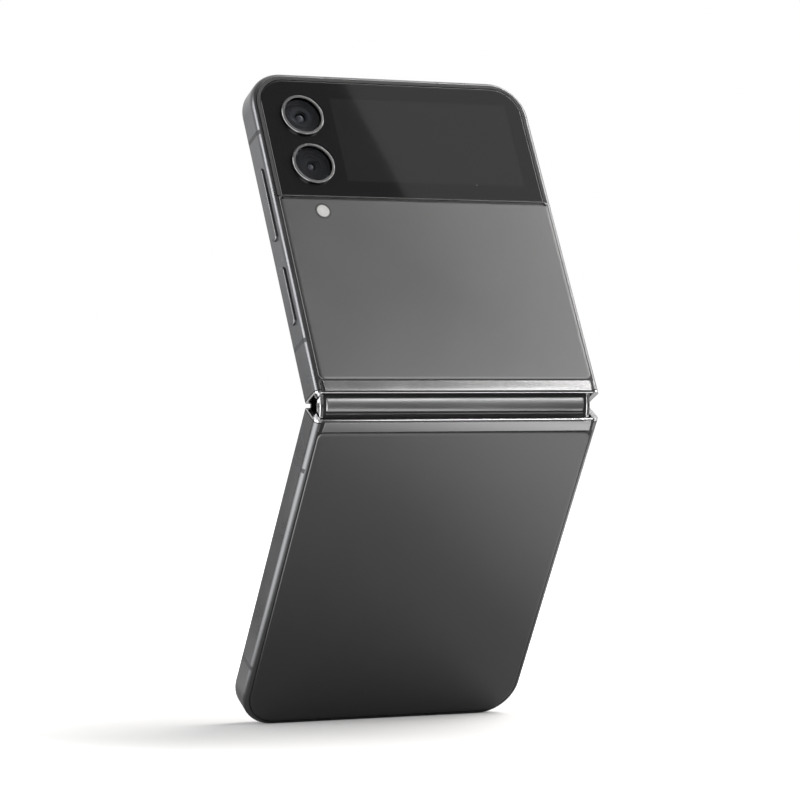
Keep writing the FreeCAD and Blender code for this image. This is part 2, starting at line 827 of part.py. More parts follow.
# Sizes that follow for the hinge modules
module_centre = spine_length / 2 - spine_end_cap - module_from_cap - module_length / 2
module_starts = [-module_centre - module_length / 2, module_centre - module_length / 2]
gear_pitch_radius = gear_axis_from_fold / (gear_count - 1)
gear_outer_radius = gear_pitch_radius + gear_tooth_height
rail_outer_radius = rail_inner_radius + rail_thickness
slot_centre_along = pivot_from_fold + arm_pin_from_fold - gear_axis_from_fold
slot_centre_height = pivot_height + arm_pin_height - gear_axis_height
slot_radius = math.hypot(gear_axis_from_fold - pivot_from_fold, pivot_height - gear_axis_height)


def ring_sector(along_here, height, inner, outer, from_deg, to_deg, start, end):
    """A bent bar across the phone, its angles counted from straight down towards the free end."""
    def on(radius, degrees):
        angle = math.radians(degrees)
        return V(start, height - radius * math.cos(angle), along_here + radius * math.sin(angle))

    middle = (from_deg + to_deg) / 2
    edges = [Part.Arc(on(outer, from_deg), on(outer, middle), on(outer, to_deg)).toShape(),
             Part.LineSegment(on(outer, to_deg), on(inner, to_deg)).toShape(),
             Part.Arc(on(inner, to_deg), on(inner, middle), on(inner, from_deg)).toShape(),
             Part.LineSegment(on(inner, from_deg), on(outer, from_deg)).toShape()]
    return Part.Face(Part.Wire(edges)).extrude(across * (end - start))


def rail_place(module_start, side):
    """Where the rail of one half starts across the phone, in one module."""
    if side > 0:
        return module_start + rail_inset
    return module_start + module_length - rail_inset - rail_width


def hinge_bases():
    """The two hinge bases fixed in the spine cover, grooved for the rails and open round the gears."""
    pieces = []
    for start in module_starts:
        bar = spine_bar(spine_wall, start, start + module_length)
        base = bar.common(block(start, start + module_length, 0, base_top, -base_half_width, base_half_width))
        cuts = []
        for side in (1, -1):
            rail_start = rail_place(start, side)
            low, high = rail_start - rail_clearance, rail_start + rail_width + rail_clearance
            pivot_place = side * pivot_from_fold
            outer = disc_across(pivot_height, pivot_place, rail_outer_radius + rail_clearance, low, high)
            inner = disc_across(pivot_height, pivot_place, rail_inner_radius - rail_clearance, low, high)
            cuts.append(outer.cut(inner))
        room_start = start + gear_inset - gear_room
        room_end = start + gear_inset + gear_width + gear_room
        for place in gear_places():
            cuts.append(disc_across(gear_axis_height, place, gear_outer_radius + gear_side_room,
                                    room_start, room_end))
            cuts.append(disc_across(gear_axis_height, place, shaft_radius, room_start - shaft_hold,
                                    room_end + shaft_hold))
        cuts.append(block(room_start, room_end, gear_axis_height, half_thickness, -half_width, half_width))
        pieces.append(base.cut(cuts))
    return Part.makeCompound(pieces)


def gear_places():
    """Where the four gear axes lie, from the lower half to the upper one."""
    first = gear_pitch_radius * (1 - gear_count)
    return [first + gear_pitch_radius * 2 * step for step in range(gear_count)]


def gear_shafts():
    """The short shafts that the gears turn on."""
    shafts = []
    for start in module_starts:
        low = start + gear_inset - gear_room - shaft_hold
        high = start + gear_inset + gear_width + gear_room + shaft_hold
        for place in gear_places():
            shafts.append(disc_across(gear_axis_height, place, shaft_radius, low, high))
    return Part.makeCompound(shafts)


def gear(place, first_deg, start):
    """One spur gear, with its first tooth at the given angle from straight up the phone."""
    root = gear_pitch_radius - gear_tooth_depth
    step = full_turn_deg / gear_teeth
    points = []
    for number in range(gear_teeth):
        middle = first_deg + number * step
        for radius, offset_share in ((root, -gear_root_share), (gear_outer_radius, -gear_tip_share),
                                     (gear_outer_radius, gear_tip_share), (root, gear_root_share)):
            angle = math.radians(middle + offset_share * step / 2)
            points.append((place + radius * math.cos(angle), gear_axis_height + radius * math.sin(angle)))
    wheel = extrude_across(points, start, start + gear_width)
    return wheel.cut(disc_across(gear_axis_height, place, shaft_radius + shaft_clearance, start - overrun,
                                 start + gear_width + overrun))


def idler_gears(side):
    """The middle gear of a train that is nearer one half, in both modules."""
    tooth_offset = full_turn_deg / gear_teeth / 2 if side > 0 else 0
    return Part.makeCompound([gear(side * gear_pitch_radius, tooth_offset, start + gear_inset)
                              for start in module_starts])


def sync_arms(side):
    """The outer gear of a train with the arm that reaches into its half, in both modules.

    The arm is drawn with the phone flat and turned with its half, then the teeth are put where they mesh."""
    arms = []
    tooth_offset = 0 if side > 0 else full_turn_deg / gear_teeth / 2
    for module_start in module_starts:
        start = module_start + gear_inset
        end = start + gear_width
        high = arm_low + arm_thickness
        neck = gear_axis_from_fold + gear_outer_radius
        bar = extrude_across([(gear_axis_from_fold, gear_axis_height + arm_thickness / 2),
                              (neck, high), (arm_pin_from_fold - arm_eye_radius * 2, high),
                              (arm_pin_from_fold + arm_eye_radius / 2, arm_pin_height + arm_eye_radius / 2),
                              (arm_pin_from_fold - arm_eye_radius / 2, arm_pin_height - arm_eye_radius / 2),
                              (arm_pin_from_fold - arm_bend, arm_low),
                              (neck, arm_low), (neck - arm_thickness, gear_axis_height - arm_thickness / 2),
                              (gear_axis_from_fold, gear_axis_height - arm_thickness / 2)], start, end)
        eye = disc_across(arm_pin_height, arm_pin_from_fold, arm_eye_radius, start, end)
        pin = disc_across(arm_pin_height, arm_pin_from_fold, shaft_radius,
                          start - gear_room - cheek_width, end + gear_room + cheek_width)
        arm = bar.fuse([eye, pin])
        if side < 0:
            arm = arm.mirror(V(0, 0, 0), along)
        arm = turn_to(arm, -side * fold_half_deg, gear_axis_height, side * gear_axis_from_fold)
        bore_radius = gear_pitch_radius - gear_tooth_depth * 2
        bore = disc_across(gear_axis_height, side * gear_axis_from_fold, bore_radius, start - overrun, end + overrun)
        arms.append(arm.cut(bore).fuse(gear(side * gear_axis_from_fold, tooth_offset, start)))
    return Part.makeCompound(arms)


def pin_slot(start, end):
    """The curved slot that the pin of a sync arm slides along as the phone folds."""
    wide = shaft_radius + shaft_clearance
    first = math.degrees(math.atan2(gear_axis_from_fold - pivot_from_fold, pivot_height - gear_axis_height))
    last = first - right_angle_deg
    slot = ring_sector(slot_centre_along, slot_centre_height, slot_radius - wide, slot_radius + wide,
                       last, first, start, end)
    ends = []
    for degrees in (first, last):
        angle = math.radians(degrees)
        ends.append(disc_across(slot_centre_height - slot_radius * math.cos(angle),
                                slot_centre_along + slot_radius * math.sin(angle), wide, start, end))
    return slot.fuse(ends)


def cheek(start):
    """A side plate of a bracket, with the slot for the pin."""
    low = slot_centre_height - slot_radius - shaft_radius - cheek_margin
    left = slot_centre_along - slot_radius - shaft_radius - cheek_margin
    high = display_back_height - wing_plate_thickness - inside_gap
    top = mid_plate_bottom - bracket_top_gap
    bend = plate_start - shaft_clearance
    hollow = pivot_height - lip_thickness
    right = bracket_start + cheek_margin
    points = [(left, high), (left, arm_low + cheek_margin * 2),
              (left + cheek_margin * 2, arm_low - cheek_margin),
              (pivot_from_fold + hollow, low + cheek_margin),
              (plate_start, low), (right, low), (right, top), (bend, top), (bend, high)]
    plate = extrude_across(points, start, start + cheek_width)
    return plate.cut(pin_slot(start - overrun, start + cheek_width + overrun))


def rotator_brackets(side):
    """The bracket of each module that is fixed to one half and turns about its pivot line on a bent rail."""
    pieces = []
    for start in module_starts:
        rail_start = rail_place(start, side)
        rail_end = rail_start + rail_width
        rail = ring_sector(pivot_from_fold, pivot_height, rail_inner_radius, rail_outer_radius,
                           rail_start_deg, rail_end_deg, rail_start, rail_end)
        over_edge = arm_low + cheek_margin / 2
        top = mid_plate_bottom - bracket_top_gap
        step = pivot_from_fold + rail_inner_radius
        bend = plate_start - shaft_clearance
        high = mid_plate_top - bracket_top_gap
        bridge = extrude_across([(step - cheek_margin, over_edge), (bracket_end, over_edge),
                                 (bracket_end, top), (bend, top), (bend, high),
                                 (step - cheek_margin, high)], rail_start, rail_end)
        plate = block(start + rail_inset, start + module_length - rail_inset, bracket_low, top,
                      bracket_start, bracket_end)
        middle = (bracket_start + bracket_end) / 2
        for hole_place in screw_places(start):
            hole = disc(hole_place, middle, bracket_screw_radius, 0, half_thickness)
            plate = plate.cut(hole)
            bridge = bridge.cut(hole)
        cheeks = [cheek(start + gear_inset - gear_room - cheek_width),
                  cheek(start + gear_inset + gear_width + gear_room)]
        pieces.append(rail.fuse([bridge, plate] + cheeks))
    return Part.makeCompound(pieces)


def screw_places(start):
    """Where the two screws of a bracket are, across the phone."""
    inset = rail_inset + rail_width + cheek_width + bracket_head_radius
    return [start + inset, start + module_length - inset]


def hinge_screws():
    """The screws that hold the brackets against the middle plate."""
    middle = (bracket_start + bracket_end) / 2
    screws = []
    for start in module_starts:
        for place in screw_places(start):
            shank = disc(place, middle, bracket_screw_radius, bracket_low, mid_plate_bottom - bracket_top_gap)
            head = disc(place, middle, bracket_head_radius, bracket_low - bracket_head_height, bracket_low)
            screws.append(shank.fuse(head))
    return Part.makeCompound(screws)


def module_rooms():
    """The room that the brackets and arms need in the rail and the thin plates of a half."""
    rooms = []
    low = slot_centre_height - slot_radius - shaft_radius - cheek_margin - gear_room
    for start in module_starts:
        rooms.append(block(start, start + module_length, low, display_back_height, pivot_from_fold, plate_start))
    return rooms


# The pieces of the upper half
volume_pocket = key_pocket(volume_place, volume_length)
power_pocket = key_pocket(power_place, power_length)
upper_frame = half_frame().cut([volume_pocket, power_pocket, tray_slot(key_gap), earpiece_slot()])
upper_frame = front_camera_hole(upper_frame)
upper_frame, upper_bands = split_bands(upper_frame)
window = back_glass(window_end, half_length, gasket_width)
for hole_place in camera_places:
    window = window.cut(disc(camera_across, hole_place, camera_ring_radius + key_gap / 2, -overrun, overrun))
matte_back = back_glass(glass_start, window_end - window_seam, 0)
matte_back = matte_back.cut(disc(camera_across, flash_place, flash_radius + key_gap / 2, -overrun, overrun))
cover_display_top = half_length - cover_display_from_end
cover_display = slab(cover_display_start, cover_display_end,
                     cover_display_top - cover_display_length, cover_display_top,
                     glass_thickness, glass_thickness + cover_display_thickness,
                     cover_display_corner, cover_display_corner)

upper_pieces = {
    "upper_frame": upper_frame,
    "upper_aerial_bands": upper_bands,
    "cover_window": window,
    "window_gasket": window_gasket(),
    "upper_back_glass": matte_back,
    "cover_display": cover_display,
    "upper_hinge_trim": hinge_trim(),
    "upper_inner_bezel": inner_bezel(),
    "upper_display_panel": display_panel(),
    "upper_display_plate": front_camera_hole(display_plate()),
    "upper_wing_plate": wing_plate(),
    "upper_brackets": rotator_brackets(1),
    "upper_hinge_screws": hinge_screws(),
    "camera_ring_top": camera_ring(camera_places[0]),
    "camera_ring_bottom": camera_ring(camera_places[1]),
    "camera_glass_top": camera_glass(camera_places[0]),
    "camera_glass_bottom": camera_glass(camera_places[1]),
    "camera_module_top": camera_body(camera_places[0]),
    "camera_module_bottom": camera_body(camera_places[1]),
    "flash_lens": disc(camera_across, flash_place, flash_radius, 0, flash_thickness),
    "main_board": main_board(),
    "card_reader": card_reader(),
    "front_camera": front_camera(),
    "receiver": receiver(),
    "upper_battery": battery(upper_battery_start, upper_battery_end, upper_battery_from_side,
                             glass_top_of_seat + inside_gap),
    "key_switches": Part.makeCompound(key_switches()),
    "upper_magnets": magnets(),
    "volume_rocker": key_cap(volume_place, volume_length),
    "power_key": key_cap(power_place, power_length),
    "card_tray": card_tray(),
}

# The pieces of the lower half
lower_frame = half_frame().cut(bottom_openings())
lower_frame, lower_bands = split_bands(lower_frame)
lower_pieces = {
    "lower_frame": lower_frame,
    "lower_aerial_bands": lower_bands,
    "lower_back_glass": back_glass(glass_start, half_length, 0),
    "lower_hinge_trim": hinge_trim(),
    "lower_inner_bezel": inner_bezel(),
    "lower_display_panel": display_panel(),
    "lower_display_plate": display_plate(),
    "lower_wing_plate": wing_plate(),
    "lower_brackets": rotator_brackets(-1),
    "lower_hinge_screws": hinge_screws(),
    "lower_battery": battery(lower_battery_start, lower_battery_end, lower_battery_from_side,
                             glass_top_of_seat + inside_gap + coil_thickness),
    "charging_coil": charging_coil(),
    "sub_board": sub_board(),
    "socket_shell": socket_shell(),
    "socket_tongue": socket_tongue(),
    "vibration_motor": vibration_motor(),
    "speaker_module": speaker_module(),
    "speaker_mesh": speaker_mesh(),
    "lower_magnets": magnets(),
}

# The pieces of the spine between them
spine_pieces = {
    "spine_cover": spine_cover(),
    "spine_end_caps": spine_end_caps(),
    "hinge_bases": hinge_bases(),
    "gear_shafts": gear_shafts(),
    "upper_idler_gears": idler_gears(1),
    "lower_idler_gears": idler_gears(-1),
    "upper_sync_arms": sync_arms(1),
    "lower_sync_arms": sync_arms(-1),
    "display_fold_zone": display_fold_zone(),
}

placed = {}
for name, shape in upper_pieces.items():
    placed[name] = at_upper(shape)
for name, shape in lower_pieces.items():
    placed[name] = at_lower(shape)
for name, shape in spine_pieces.items():
    placed[name] = shape

# The phone stands on the bottom edge of its lower half, tilted as it is in use
whole = []
for name in placed:
    placed[name] = turn_to(placed[name], spine_turn_deg, 0, 0)
    whole.append(placed[name])
box = Part.makeCompound(whole).optimalBoundingBox(False, False)
stand = V(-(box.XMin + box.XMax) / 2, -(box.YMin + box.YMax) / 2, -box.ZMin)
for name, shape in placed.items():
    moved = shape.copy()
    moved.translate(stand)
    moved.exportStep("parts/" + name + ".step")
    print(name, len(moved.Solids), round(moved.Volume, 2), moved.isValid())
pivot_line = turn_to(Part.Vertex(0, pivot_height, -pivot_from_fold), spine_turn_deg, 0, 0)
print("lower pivot", pivot_line.Point + stand)
pivot_line = turn_to(Part.Vertex(0, pivot_height, pivot_from_fold), spine_turn_deg, 0, 0)
print("upper pivot", pivot_line.Point + stand)
for name, place in zip(("lower arm", "lower idler", "upper idler", "upper arm"), gear_places()):
    axis_point = turn_to(Part.Vertex(0, gear_axis_height, place), spine_turn_deg, 0, 0)
    print(name, "axis", axis_point.Point + stand)
print("box", box.XLength, box.YLength, box.ZLength, "moved by", stand)
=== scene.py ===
# %% [markdown]
# # A folding phone, dressed for its portrait
#
# The imported model gives every piece of the phone at its real size and place. This script loads
# it as a fixed frame, gives each piece the finish of the real one, and adds what is too fine for
# the construction model: seals, perforations, lens rings and rounded glass edges. A few black
# strips and a darker copy of the lower lip's metal are painted shade. The phone stands half open
# with its outer backs towards the camera.

# %% Load the frame
import json
import math
import bmesh
import bpy
from mathutils import Matrix, Vector


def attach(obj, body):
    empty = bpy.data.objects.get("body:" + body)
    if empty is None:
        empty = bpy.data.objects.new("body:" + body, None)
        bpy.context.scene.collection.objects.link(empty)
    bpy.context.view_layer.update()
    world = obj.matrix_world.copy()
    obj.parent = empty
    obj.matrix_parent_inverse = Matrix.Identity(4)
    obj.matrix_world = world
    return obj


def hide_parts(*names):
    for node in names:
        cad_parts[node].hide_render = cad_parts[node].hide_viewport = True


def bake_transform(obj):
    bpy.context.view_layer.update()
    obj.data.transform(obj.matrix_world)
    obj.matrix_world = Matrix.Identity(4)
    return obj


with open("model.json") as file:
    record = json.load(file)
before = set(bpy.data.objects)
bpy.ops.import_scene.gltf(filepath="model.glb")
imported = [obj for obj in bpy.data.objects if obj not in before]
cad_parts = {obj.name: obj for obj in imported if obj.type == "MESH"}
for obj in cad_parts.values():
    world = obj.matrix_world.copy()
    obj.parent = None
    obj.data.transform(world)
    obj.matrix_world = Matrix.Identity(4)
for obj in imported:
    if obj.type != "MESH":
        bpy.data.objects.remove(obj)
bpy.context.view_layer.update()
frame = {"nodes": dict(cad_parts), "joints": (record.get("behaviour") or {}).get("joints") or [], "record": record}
nodes = frame["nodes"]
joints = {joint["name"]: joint for joint in frame["joints"]}

# %% [markdown]
# ## Where things are
#
# A half of the phone is easiest to think about in its own frame: across the phone, height above
# the back face, and distance from the fold line. On the real phone those directions turn about a
# pivot line near the display. The joints of the record say where both pivot lines are. Only the
# tilt of each half and the place of its pivot in it are written here.

# %% Frames of the two halves
MM = 0.001
PIVOT_FROM_FOLD = 2.4
PIVOT_HEIGHT = 6.0
UPPER_TILT = math.radians(27.2)
LOWER_TILT = math.radians(30.7)
FOLD_HALF = (UPPER_TILT + LOWER_TILT) / 2
SPINE_TURN = (LOWER_TILT - UPPER_TILT) / 2
lower_pivot = Vector(joints["lower_fold"]["pos_m"])
upper_pivot = Vector(joints["upper_fold"]["pos_m"])
fold_middle = (lower_pivot + upper_pivot) / 2


def half_place(pivot, turn, side):
    """The matrix that takes (across, height, along) of a half to the frame, all in metres."""
    to_pivot = Matrix.Translation((0.0, -PIVOT_HEIGHT * MM, -side * PIVOT_FROM_FOLD * MM))
    mirror = Matrix.Diagonal((1.0, 1.0, float(side), 1.0))
    return Matrix.Translation(pivot) @ Matrix.Rotation(turn, 4, "X") @ to_pivot @ mirror


UPPER = half_place(upper_pivot, -UPPER_TILT, 1)
LOWER = half_place(lower_pivot, LOWER_TILT, -1)
SPINE = (Matrix.Translation(fold_middle) @ Matrix.Rotation(SPINE_TURN, 4, "X")
         @ Matrix.Translation((0.0, -PIVOT_HEIGHT * MM, 0.0)))
ON_UPPER, ON_LOWER = (UPPER, "upper_half"), (LOWER, "lower_half")
ON_SPINE = (SPINE, "hinge_spine")
print("the upper back starts at", [round(c, 4) for c in UPPER @ Vector((0, 0, 3 * MM))])

# %% [markdown]
# ## Camera
#
# A long lens looks almost level at the backs of the phone from its left side. The camera is set
# from where the middle of the fold appears to it: so far right, so far down and so far away. A
# lens this long keeps the upright edges of the halves nearly parallel, as in the photograph.

# %% Camera
VIEW_YAW = math.radians(26.885)
VIEW_PITCH = math.radians(0.348)
FOLD_SEEN_FROM_CAMERA = Vector((10.898 * MM, -1.157 * MM, -751.46 * MM))
LENS_LENGTH = 150.2
NEAR_LIMIT = 0.05

upright = Matrix.Rotation(math.radians(90.0) - VIEW_PITCH, 4, "X")
turn = Matrix.Rotation(-VIEW_YAW, 4, "Z") @ upright
camera_data = bpy.data.cameras.new("portrait_camera")
camera_data.lens = LENS_LENGTH
camera_data.clip_start = NEAR_LIMIT
camera = bpy.data.objects.new("portrait_camera", camera_data)
bpy.context.scene.collection.objects.link(camera)
eye = fold_middle - turn.to_3x3() @ FOLD_SEEN_FROM_CAMERA
camera.matrix_world = Matrix.Translation(eye) @ turn
bpy.context.scene.camera = camera
bpy.context.scene.view_settings.view_transform = "Standard"
print("camera at", [round(c, 3) for c in eye])

# %% [markdown]
# ## Node helpers
#
# The room and all the finishes are node trees, and a few helpers write them. A socket knows its
# tree, so a helper that gets a socket sets its node beside it, and joining nodes reads like a sum.

# %% Helpers for node trees
def add_node(tree, kind, **settings):
    """A new node with the given settings."""
    node = tree.nodes.new(kind)
    for label, value in settings.items():
        setattr(node, label, value)
    return node


def feed(socket, value):
    """Link a socket to another one, or set it to a plain value or colour."""
    if isinstance(value, bpy.types.NodeSocket):
        socket.id_data.links.new(value, socket)
    elif isinstance(value, tuple) and socket.type == "RGBA":
        socket.default_value = (*value[:3], 1.0)
    else:
        socket.default_value = value


def feed_all(node, **values):
    """Feed the sockets of a node by name, with underscores for spaces."""
    for label, value in values.items():
        feed(node.inputs[label.replace("_", " ")], value)
    return node.outputs


def calculate(operation, *values, kind="ShaderNodeMath", **settings):
    """A Math node; its inputs are sockets or plain values, at least one of them a socket."""
    tree = next(v.id_data for v in values if isinstance(v, bpy.types.NodeSocket))
    node = add_node(tree, kind, operation=operation, **settings)
    for socket, value in zip(node.inputs, values):
        feed(socket, value)
    return node.outputs[0]


def vector_sum(operation, *values):
    """The same for vectors: a product is a vector, a length or dot product is a number."""
    made = calculate(operation, *values, kind="ShaderNodeVectorMath")
    return made if operation == "MULTIPLY" else made.node.outputs["Value"]


def axes_of(place):
    """The X, Y and Z of a vector."""
    return feed_all(add_node(place.id_data, "ShaderNodeSeparateXYZ"), Vector=place)


def stretch(value, from_ends, to_ends=(0.0, 1.0), **settings):
    """A Map Range node: a value between two ends is moved between two others and kept there."""
    node = add_node(value.id_data, "ShaderNodeMapRange", **settings)
    return feed_all(node, Value=value, From_Min=from_ends[0], From_Max=from_ends[1],
                    To_Min=to_ends[0], To_Max=to_ends[1])["Result"]


def blend_colours(mask, low, high):
    """A colour that goes from one to another with a mask; both may be colours or sockets."""
    node = add_node(mask.id_data, "ShaderNodeMix", data_type="RGBA")
    return feed_all(node, Factor=mask, A=low, B=high)["Result"]


print("node helpers ready")

# %% [markdown]
# ## Room, floor and lamps
#
# The background is plain white. What lights the phone, and what it mirrors, is a studio with a
# bright sweep behind the phone and a dimmer room on the camera's side. The camera and the clear
# glass see only the white. That difference draws the edges of polished metal and dark glass.

# %% World
DIM_ROOM = 0.14
SWEEP = (-0.2, 1.0)
WHITE = (1.0, 1.0, 1.0)
SMOOTH = {"interpolation_type": "SMOOTHSTEP"}
world = bpy.data.worlds.new("studio")
bpy.context.scene.world = world
world.use_nodes = True
tree = world.node_tree
tree.nodes.clear()
direction = axes_of(add_node(tree, "ShaderNodeTexCoord").outputs["Generated"])
depth = stretch(direction["Y"], SWEEP, (DIM_ROOM, 1.0), **SMOOTH)
room, backdrop = [feed_all(add_node(tree, "ShaderNodeBackground"), Color=colour)[0]
                  for colour in (depth, WHITE)]
path = add_node(tree, "ShaderNodeLightPath").outputs
clear_view = calculate("MAXIMUM", path["Is Camera Ray"], path["Is Transmission Ray"])
seen = add_node(tree, "ShaderNodeMixShader")
for socket, source in zip(seen.inputs, (clear_view, room, backdrop)):
    feed(socket, source)
feed_all(add_node(tree, "ShaderNodeOutputWorld"), Surface=seen.outputs[0])
print("the world shows white to the camera and a room of", DIM_ROOM, "to 1.0 to the phone")

# %% [markdown]
# The floor is a wide pale sheet. Towards the camera it also gives off a little light of its own,
# more of it far away where the lamps no longer reach. So it meets the white backdrop without a
# line, and only the soft shadow under the phone is seen of it. What the phone mirrors of the floor
# grows brighter towards the right and the front, as if a graded card lay there. It gives the lower
# back its slow sheen. A bright card to the left, seen only in reflections too, carries the long
# highlight of the rail down the lower half.

# %% Floor
FLOOR_REACH = 12.0
PAPER = (0.6, 0.6, 0.6)
LIFT, LIFT_STARTS = (0.12, 0.85), (0.045, 0.17)
CARD_WAY = (0.75, -0.66, 0.0)
CARD_TONES, CARD_STARTS = (0.22, 0.85), (0.035, 0.12)
CARD_FADE, CARD_ENDS = (1.0, 0.08), (0.10, 0.15)
SIDE_CARD = (0.0, 2.4)
SIDE_CARD_LEFT, SIDE_CARD_FRONT = (-0.050, -0.085), (0.16, -0.012)

mesh = bpy.data.meshes.new("floor")
corners = [(x * FLOOR_REACH, y * FLOOR_REACH, 0) for x, y in ((-1, -1), (1, -1), (1, 1), (-1, 1))]
mesh.from_pydata(corners, [], [(0, 1, 2, 3)])
floor = bpy.data.objects.new("floor", mesh)
bpy.context.scene.collection.objects.link(floor)
pale = bpy.data.materials.new("pale_floor")
pale.use_nodes = True
tree = pale.node_tree
tree.nodes.clear()
path = add_node(tree, "ShaderNodeLightPath").outputs
spot = add_node(tree, "ShaderNodeTexCoord").outputs["Object"]

slanted = vector_sum("DOT_PRODUCT", spot, CARD_WAY)
graded = calculate("MULTIPLY", stretch(slanted, CARD_STARTS, CARD_TONES),
                   stretch(slanted, CARD_ENDS, CARD_FADE))
paper = feed_all(add_node(tree, "ShaderNodeBsdfDiffuse"),
                 Color=blend_colours(path["Is Glossy Ray"], PAPER, graded))

fade = stretch(vector_sum("LENGTH", spot), LIFT_STARTS, LIFT, **SMOOTH)
side_card = calculate("MULTIPLY", stretch(axes_of(spot)["X"], SIDE_CARD_LEFT, SIDE_CARD),
                      stretch(axes_of(spot)["Y"], SIDE_CARD_FRONT))
strength = calculate("ADD", calculate("MULTIPLY", path["Is Camera Ray"], fade),
                     calculate("MULTIPLY", side_card, path["Is Glossy Ray"]))
lift = feed_all(add_node(tree, "ShaderNodeEmission"), Strength=strength)

together = add_node(tree, "ShaderNodeAddShader")
feed(together.inputs[0], paper[0])
feed(together.inputs[1], lift[0])
feed_all(add_node(tree, "ShaderNodeOutputMaterial"), Surface=together.outputs[0])
floor.data.materials.append(pale)
print("floor lifted by", LIFT)

# %% [markdown]
# Soft lamps shape the phone. The main one is a wide softbox above and to the right. The cover
# window mirrors its left edge, which is the slanted line across the window, and the satin back
# below spreads it into a slow sheen that grows towards the right. Two smaller boxes inside it
# make its middle brighter. One lamp in front lights the upper back, and a tall, narrow one on
# the left runs along the phone, so that the rounded edge of the rail catches a long bright line.

# %% Lamps
PHONE_MIDDLE = Vector((0.0, 0.0, 0.075))
MIRRORED_WAY = Vector((0.455, -0.465, 0.759))
SOFTBOX_EDGE = Vector((0.349, -0.364, 0.748))
SOFTBOX_DOWN = Vector((0.022, -0.032, -0.046)).normalized()
WARM_WHITE = (1.0, 0.985, 0.965)


def area_lamp(name, size, power, colour, matrix):
    """A soft rectangular lamp."""
    data = bpy.data.lights.new(name, "AREA")
    data.shape = "RECTANGLE"
    data.size, data.size_y = size
    data.energy = power
    data.color = colour
    lamp = bpy.data.objects.new(name, data)
    bpy.context.scene.collection.objects.link(lamp)
    lamp.matrix_world = matrix


def aimed_lamp(name, place, size, power):
    """A white lamp that looks at the middle of the phone."""
    facing = (PHONE_MIDDLE - Vector(place)).to_track_quat("-Z", "Y").to_matrix().to_4x4()
    area_lamp(name, size, power, WHITE, Matrix.Translation(place) @ facing)


def softbox(name, start, size, power):
    """A warm lamp whose left edge is that far to the right of the line the window mirrors."""
    right = SOFTBOX_DOWN.cross(-MIRRORED_WAY).normalized()
    right = -right if right.x < 0 else right
    facing = MIRRORED_WAY.normalized()
    middle = SOFTBOX_EDGE + right * (start + size[0] / 2)
    axes = Matrix((right, facing.cross(right).normalized(), facing)).transposed().to_4x4()
    area_lamp(name, size, power, WARM_WHITE, Matrix.Translation(middle) @ axes)


softbox("key_lamp", 0.0, (0.6, 1.3), 1.1)
softbox("key_heart", 0.04, (0.5, 0.9), 0.75)
softbox("key_side", 0.10, (0.6, 0.9), 19.0)
aimed_lamp("front_lamp", (0.38, -0.60, 0.48), (0.36, 0.30), 0.8)
aimed_lamp("edge_lamp", (-0.80, -0.16, 0.30), (0.42, 1.2), 6.5)
print("lamps:", ", ".join(light.name for light in bpy.data.lights))

# %% [markdown]
# ## Shader groups
#
# Real finishes are never even: blasted metal glitters, brushed metal has lines, and every surface
# that hands touch carries faint smudges and hairline scratches. Several finishes of the phone
# share these effects, so each is built once as a node group and placed in every material that
# needs it, with its own values.

# %% Helpers for shader groups
KINDS = {int: "NodeSocketInt", float: "NodeSocketFloat", tuple: "NodeSocketVector"}


def new_tree(name, kind, inputs, outputs, output_kind):
    """An empty tree with named inputs and outputs, what its inputs give, and its last node."""
    made = bpy.data.node_groups.new(name, kind)
    for label, value in inputs.items():
        socket = made.interface.new_socket(label, in_out="INPUT", socket_type=KINDS[type(value)])
        socket.default_value = value
    for label in outputs:
        made.interface.new_socket(label, in_out="OUTPUT", socket_type=output_kind)
    return made, made.nodes.new("NodeGroupInput").outputs, made.nodes.new("NodeGroupOutput")


def new_group(name, inputs, outputs):
    """An empty shader group that takes a place and some numbers."""
    return new_tree(name, "ShaderNodeTree", {"Place": (0.0, 0.0, 0.0), **inputs}, outputs,
                    "NodeSocketFloat")


def put_out(group, last, **values):
    """Join the named values to the outputs of a group."""
    feed_all(last, **values)
    print(group.name, "has", len(group.nodes), "nodes")


def noise(place, scale, detail, roughness):
    """The value of a Noise texture."""
    node = add_node(place.id_data, "ShaderNodeTexNoise")
    return feed_all(node, Vector=place, Scale=scale, Detail=detail, Roughness=roughness)["Fac"]


def cells(feature, place, scale):
    """A Voronoi texture, which parts space into cells."""
    node = add_node(place.id_data, "ShaderNodeTexVoronoi", feature=feature)
    return feed_all(node, Vector=place, Scale=scale)


print("group helpers ready")

# %% [markdown]
# The grain group gives the fine pits of a blasted or moulded surface and a slow cloudiness under
# them. From a distance the eye sees the clouds, and close up the pits.

# %% Grain group
grain_group, given, last = new_group(
    "fine_grain", {"Pits per metre": 9000.0, "Clouds per metre": 60.0}, ["Pits", "Clouds"])
put_out(grain_group, last,
        Pits=noise(given["Place"], given["Pits per metre"], 3.0, 0.6),
        Clouds=noise(given["Place"], given["Clouds per metre"], 4.0, 0.55))

# %% [markdown]
# The brushed group stretches noise along one direction, the way a belt leaves its lines on metal.

# %% Brushed group
BROAD_SHARE = 0.12
brushed_group, given, last = new_group(
    "brushed_lines", {"Squeeze": (0.01, 1.0, 1.0), "Lines per metre": 6000.0},
    ["Lines", "Broad Lines"])
squeezed = vector_sum("MULTIPLY", given["Place"], given["Squeeze"])
broad_scale = calculate("MULTIPLY", given["Lines per metre"], BROAD_SHARE)
put_out(brushed_group, last,
        Lines=noise(squeezed, given["Lines per metre"], 2.0, 0.6),
        Broad_Lines=noise(squeezed, broad_scale, 2.0, 0.5))

# %% [markdown]
# The handling group gives what hands and pockets leave: soft smudges where skin has touched, and
# hairline scratches. A hairline is the thin edge between two cells of a Voronoi pattern, kept
# only in a few places.

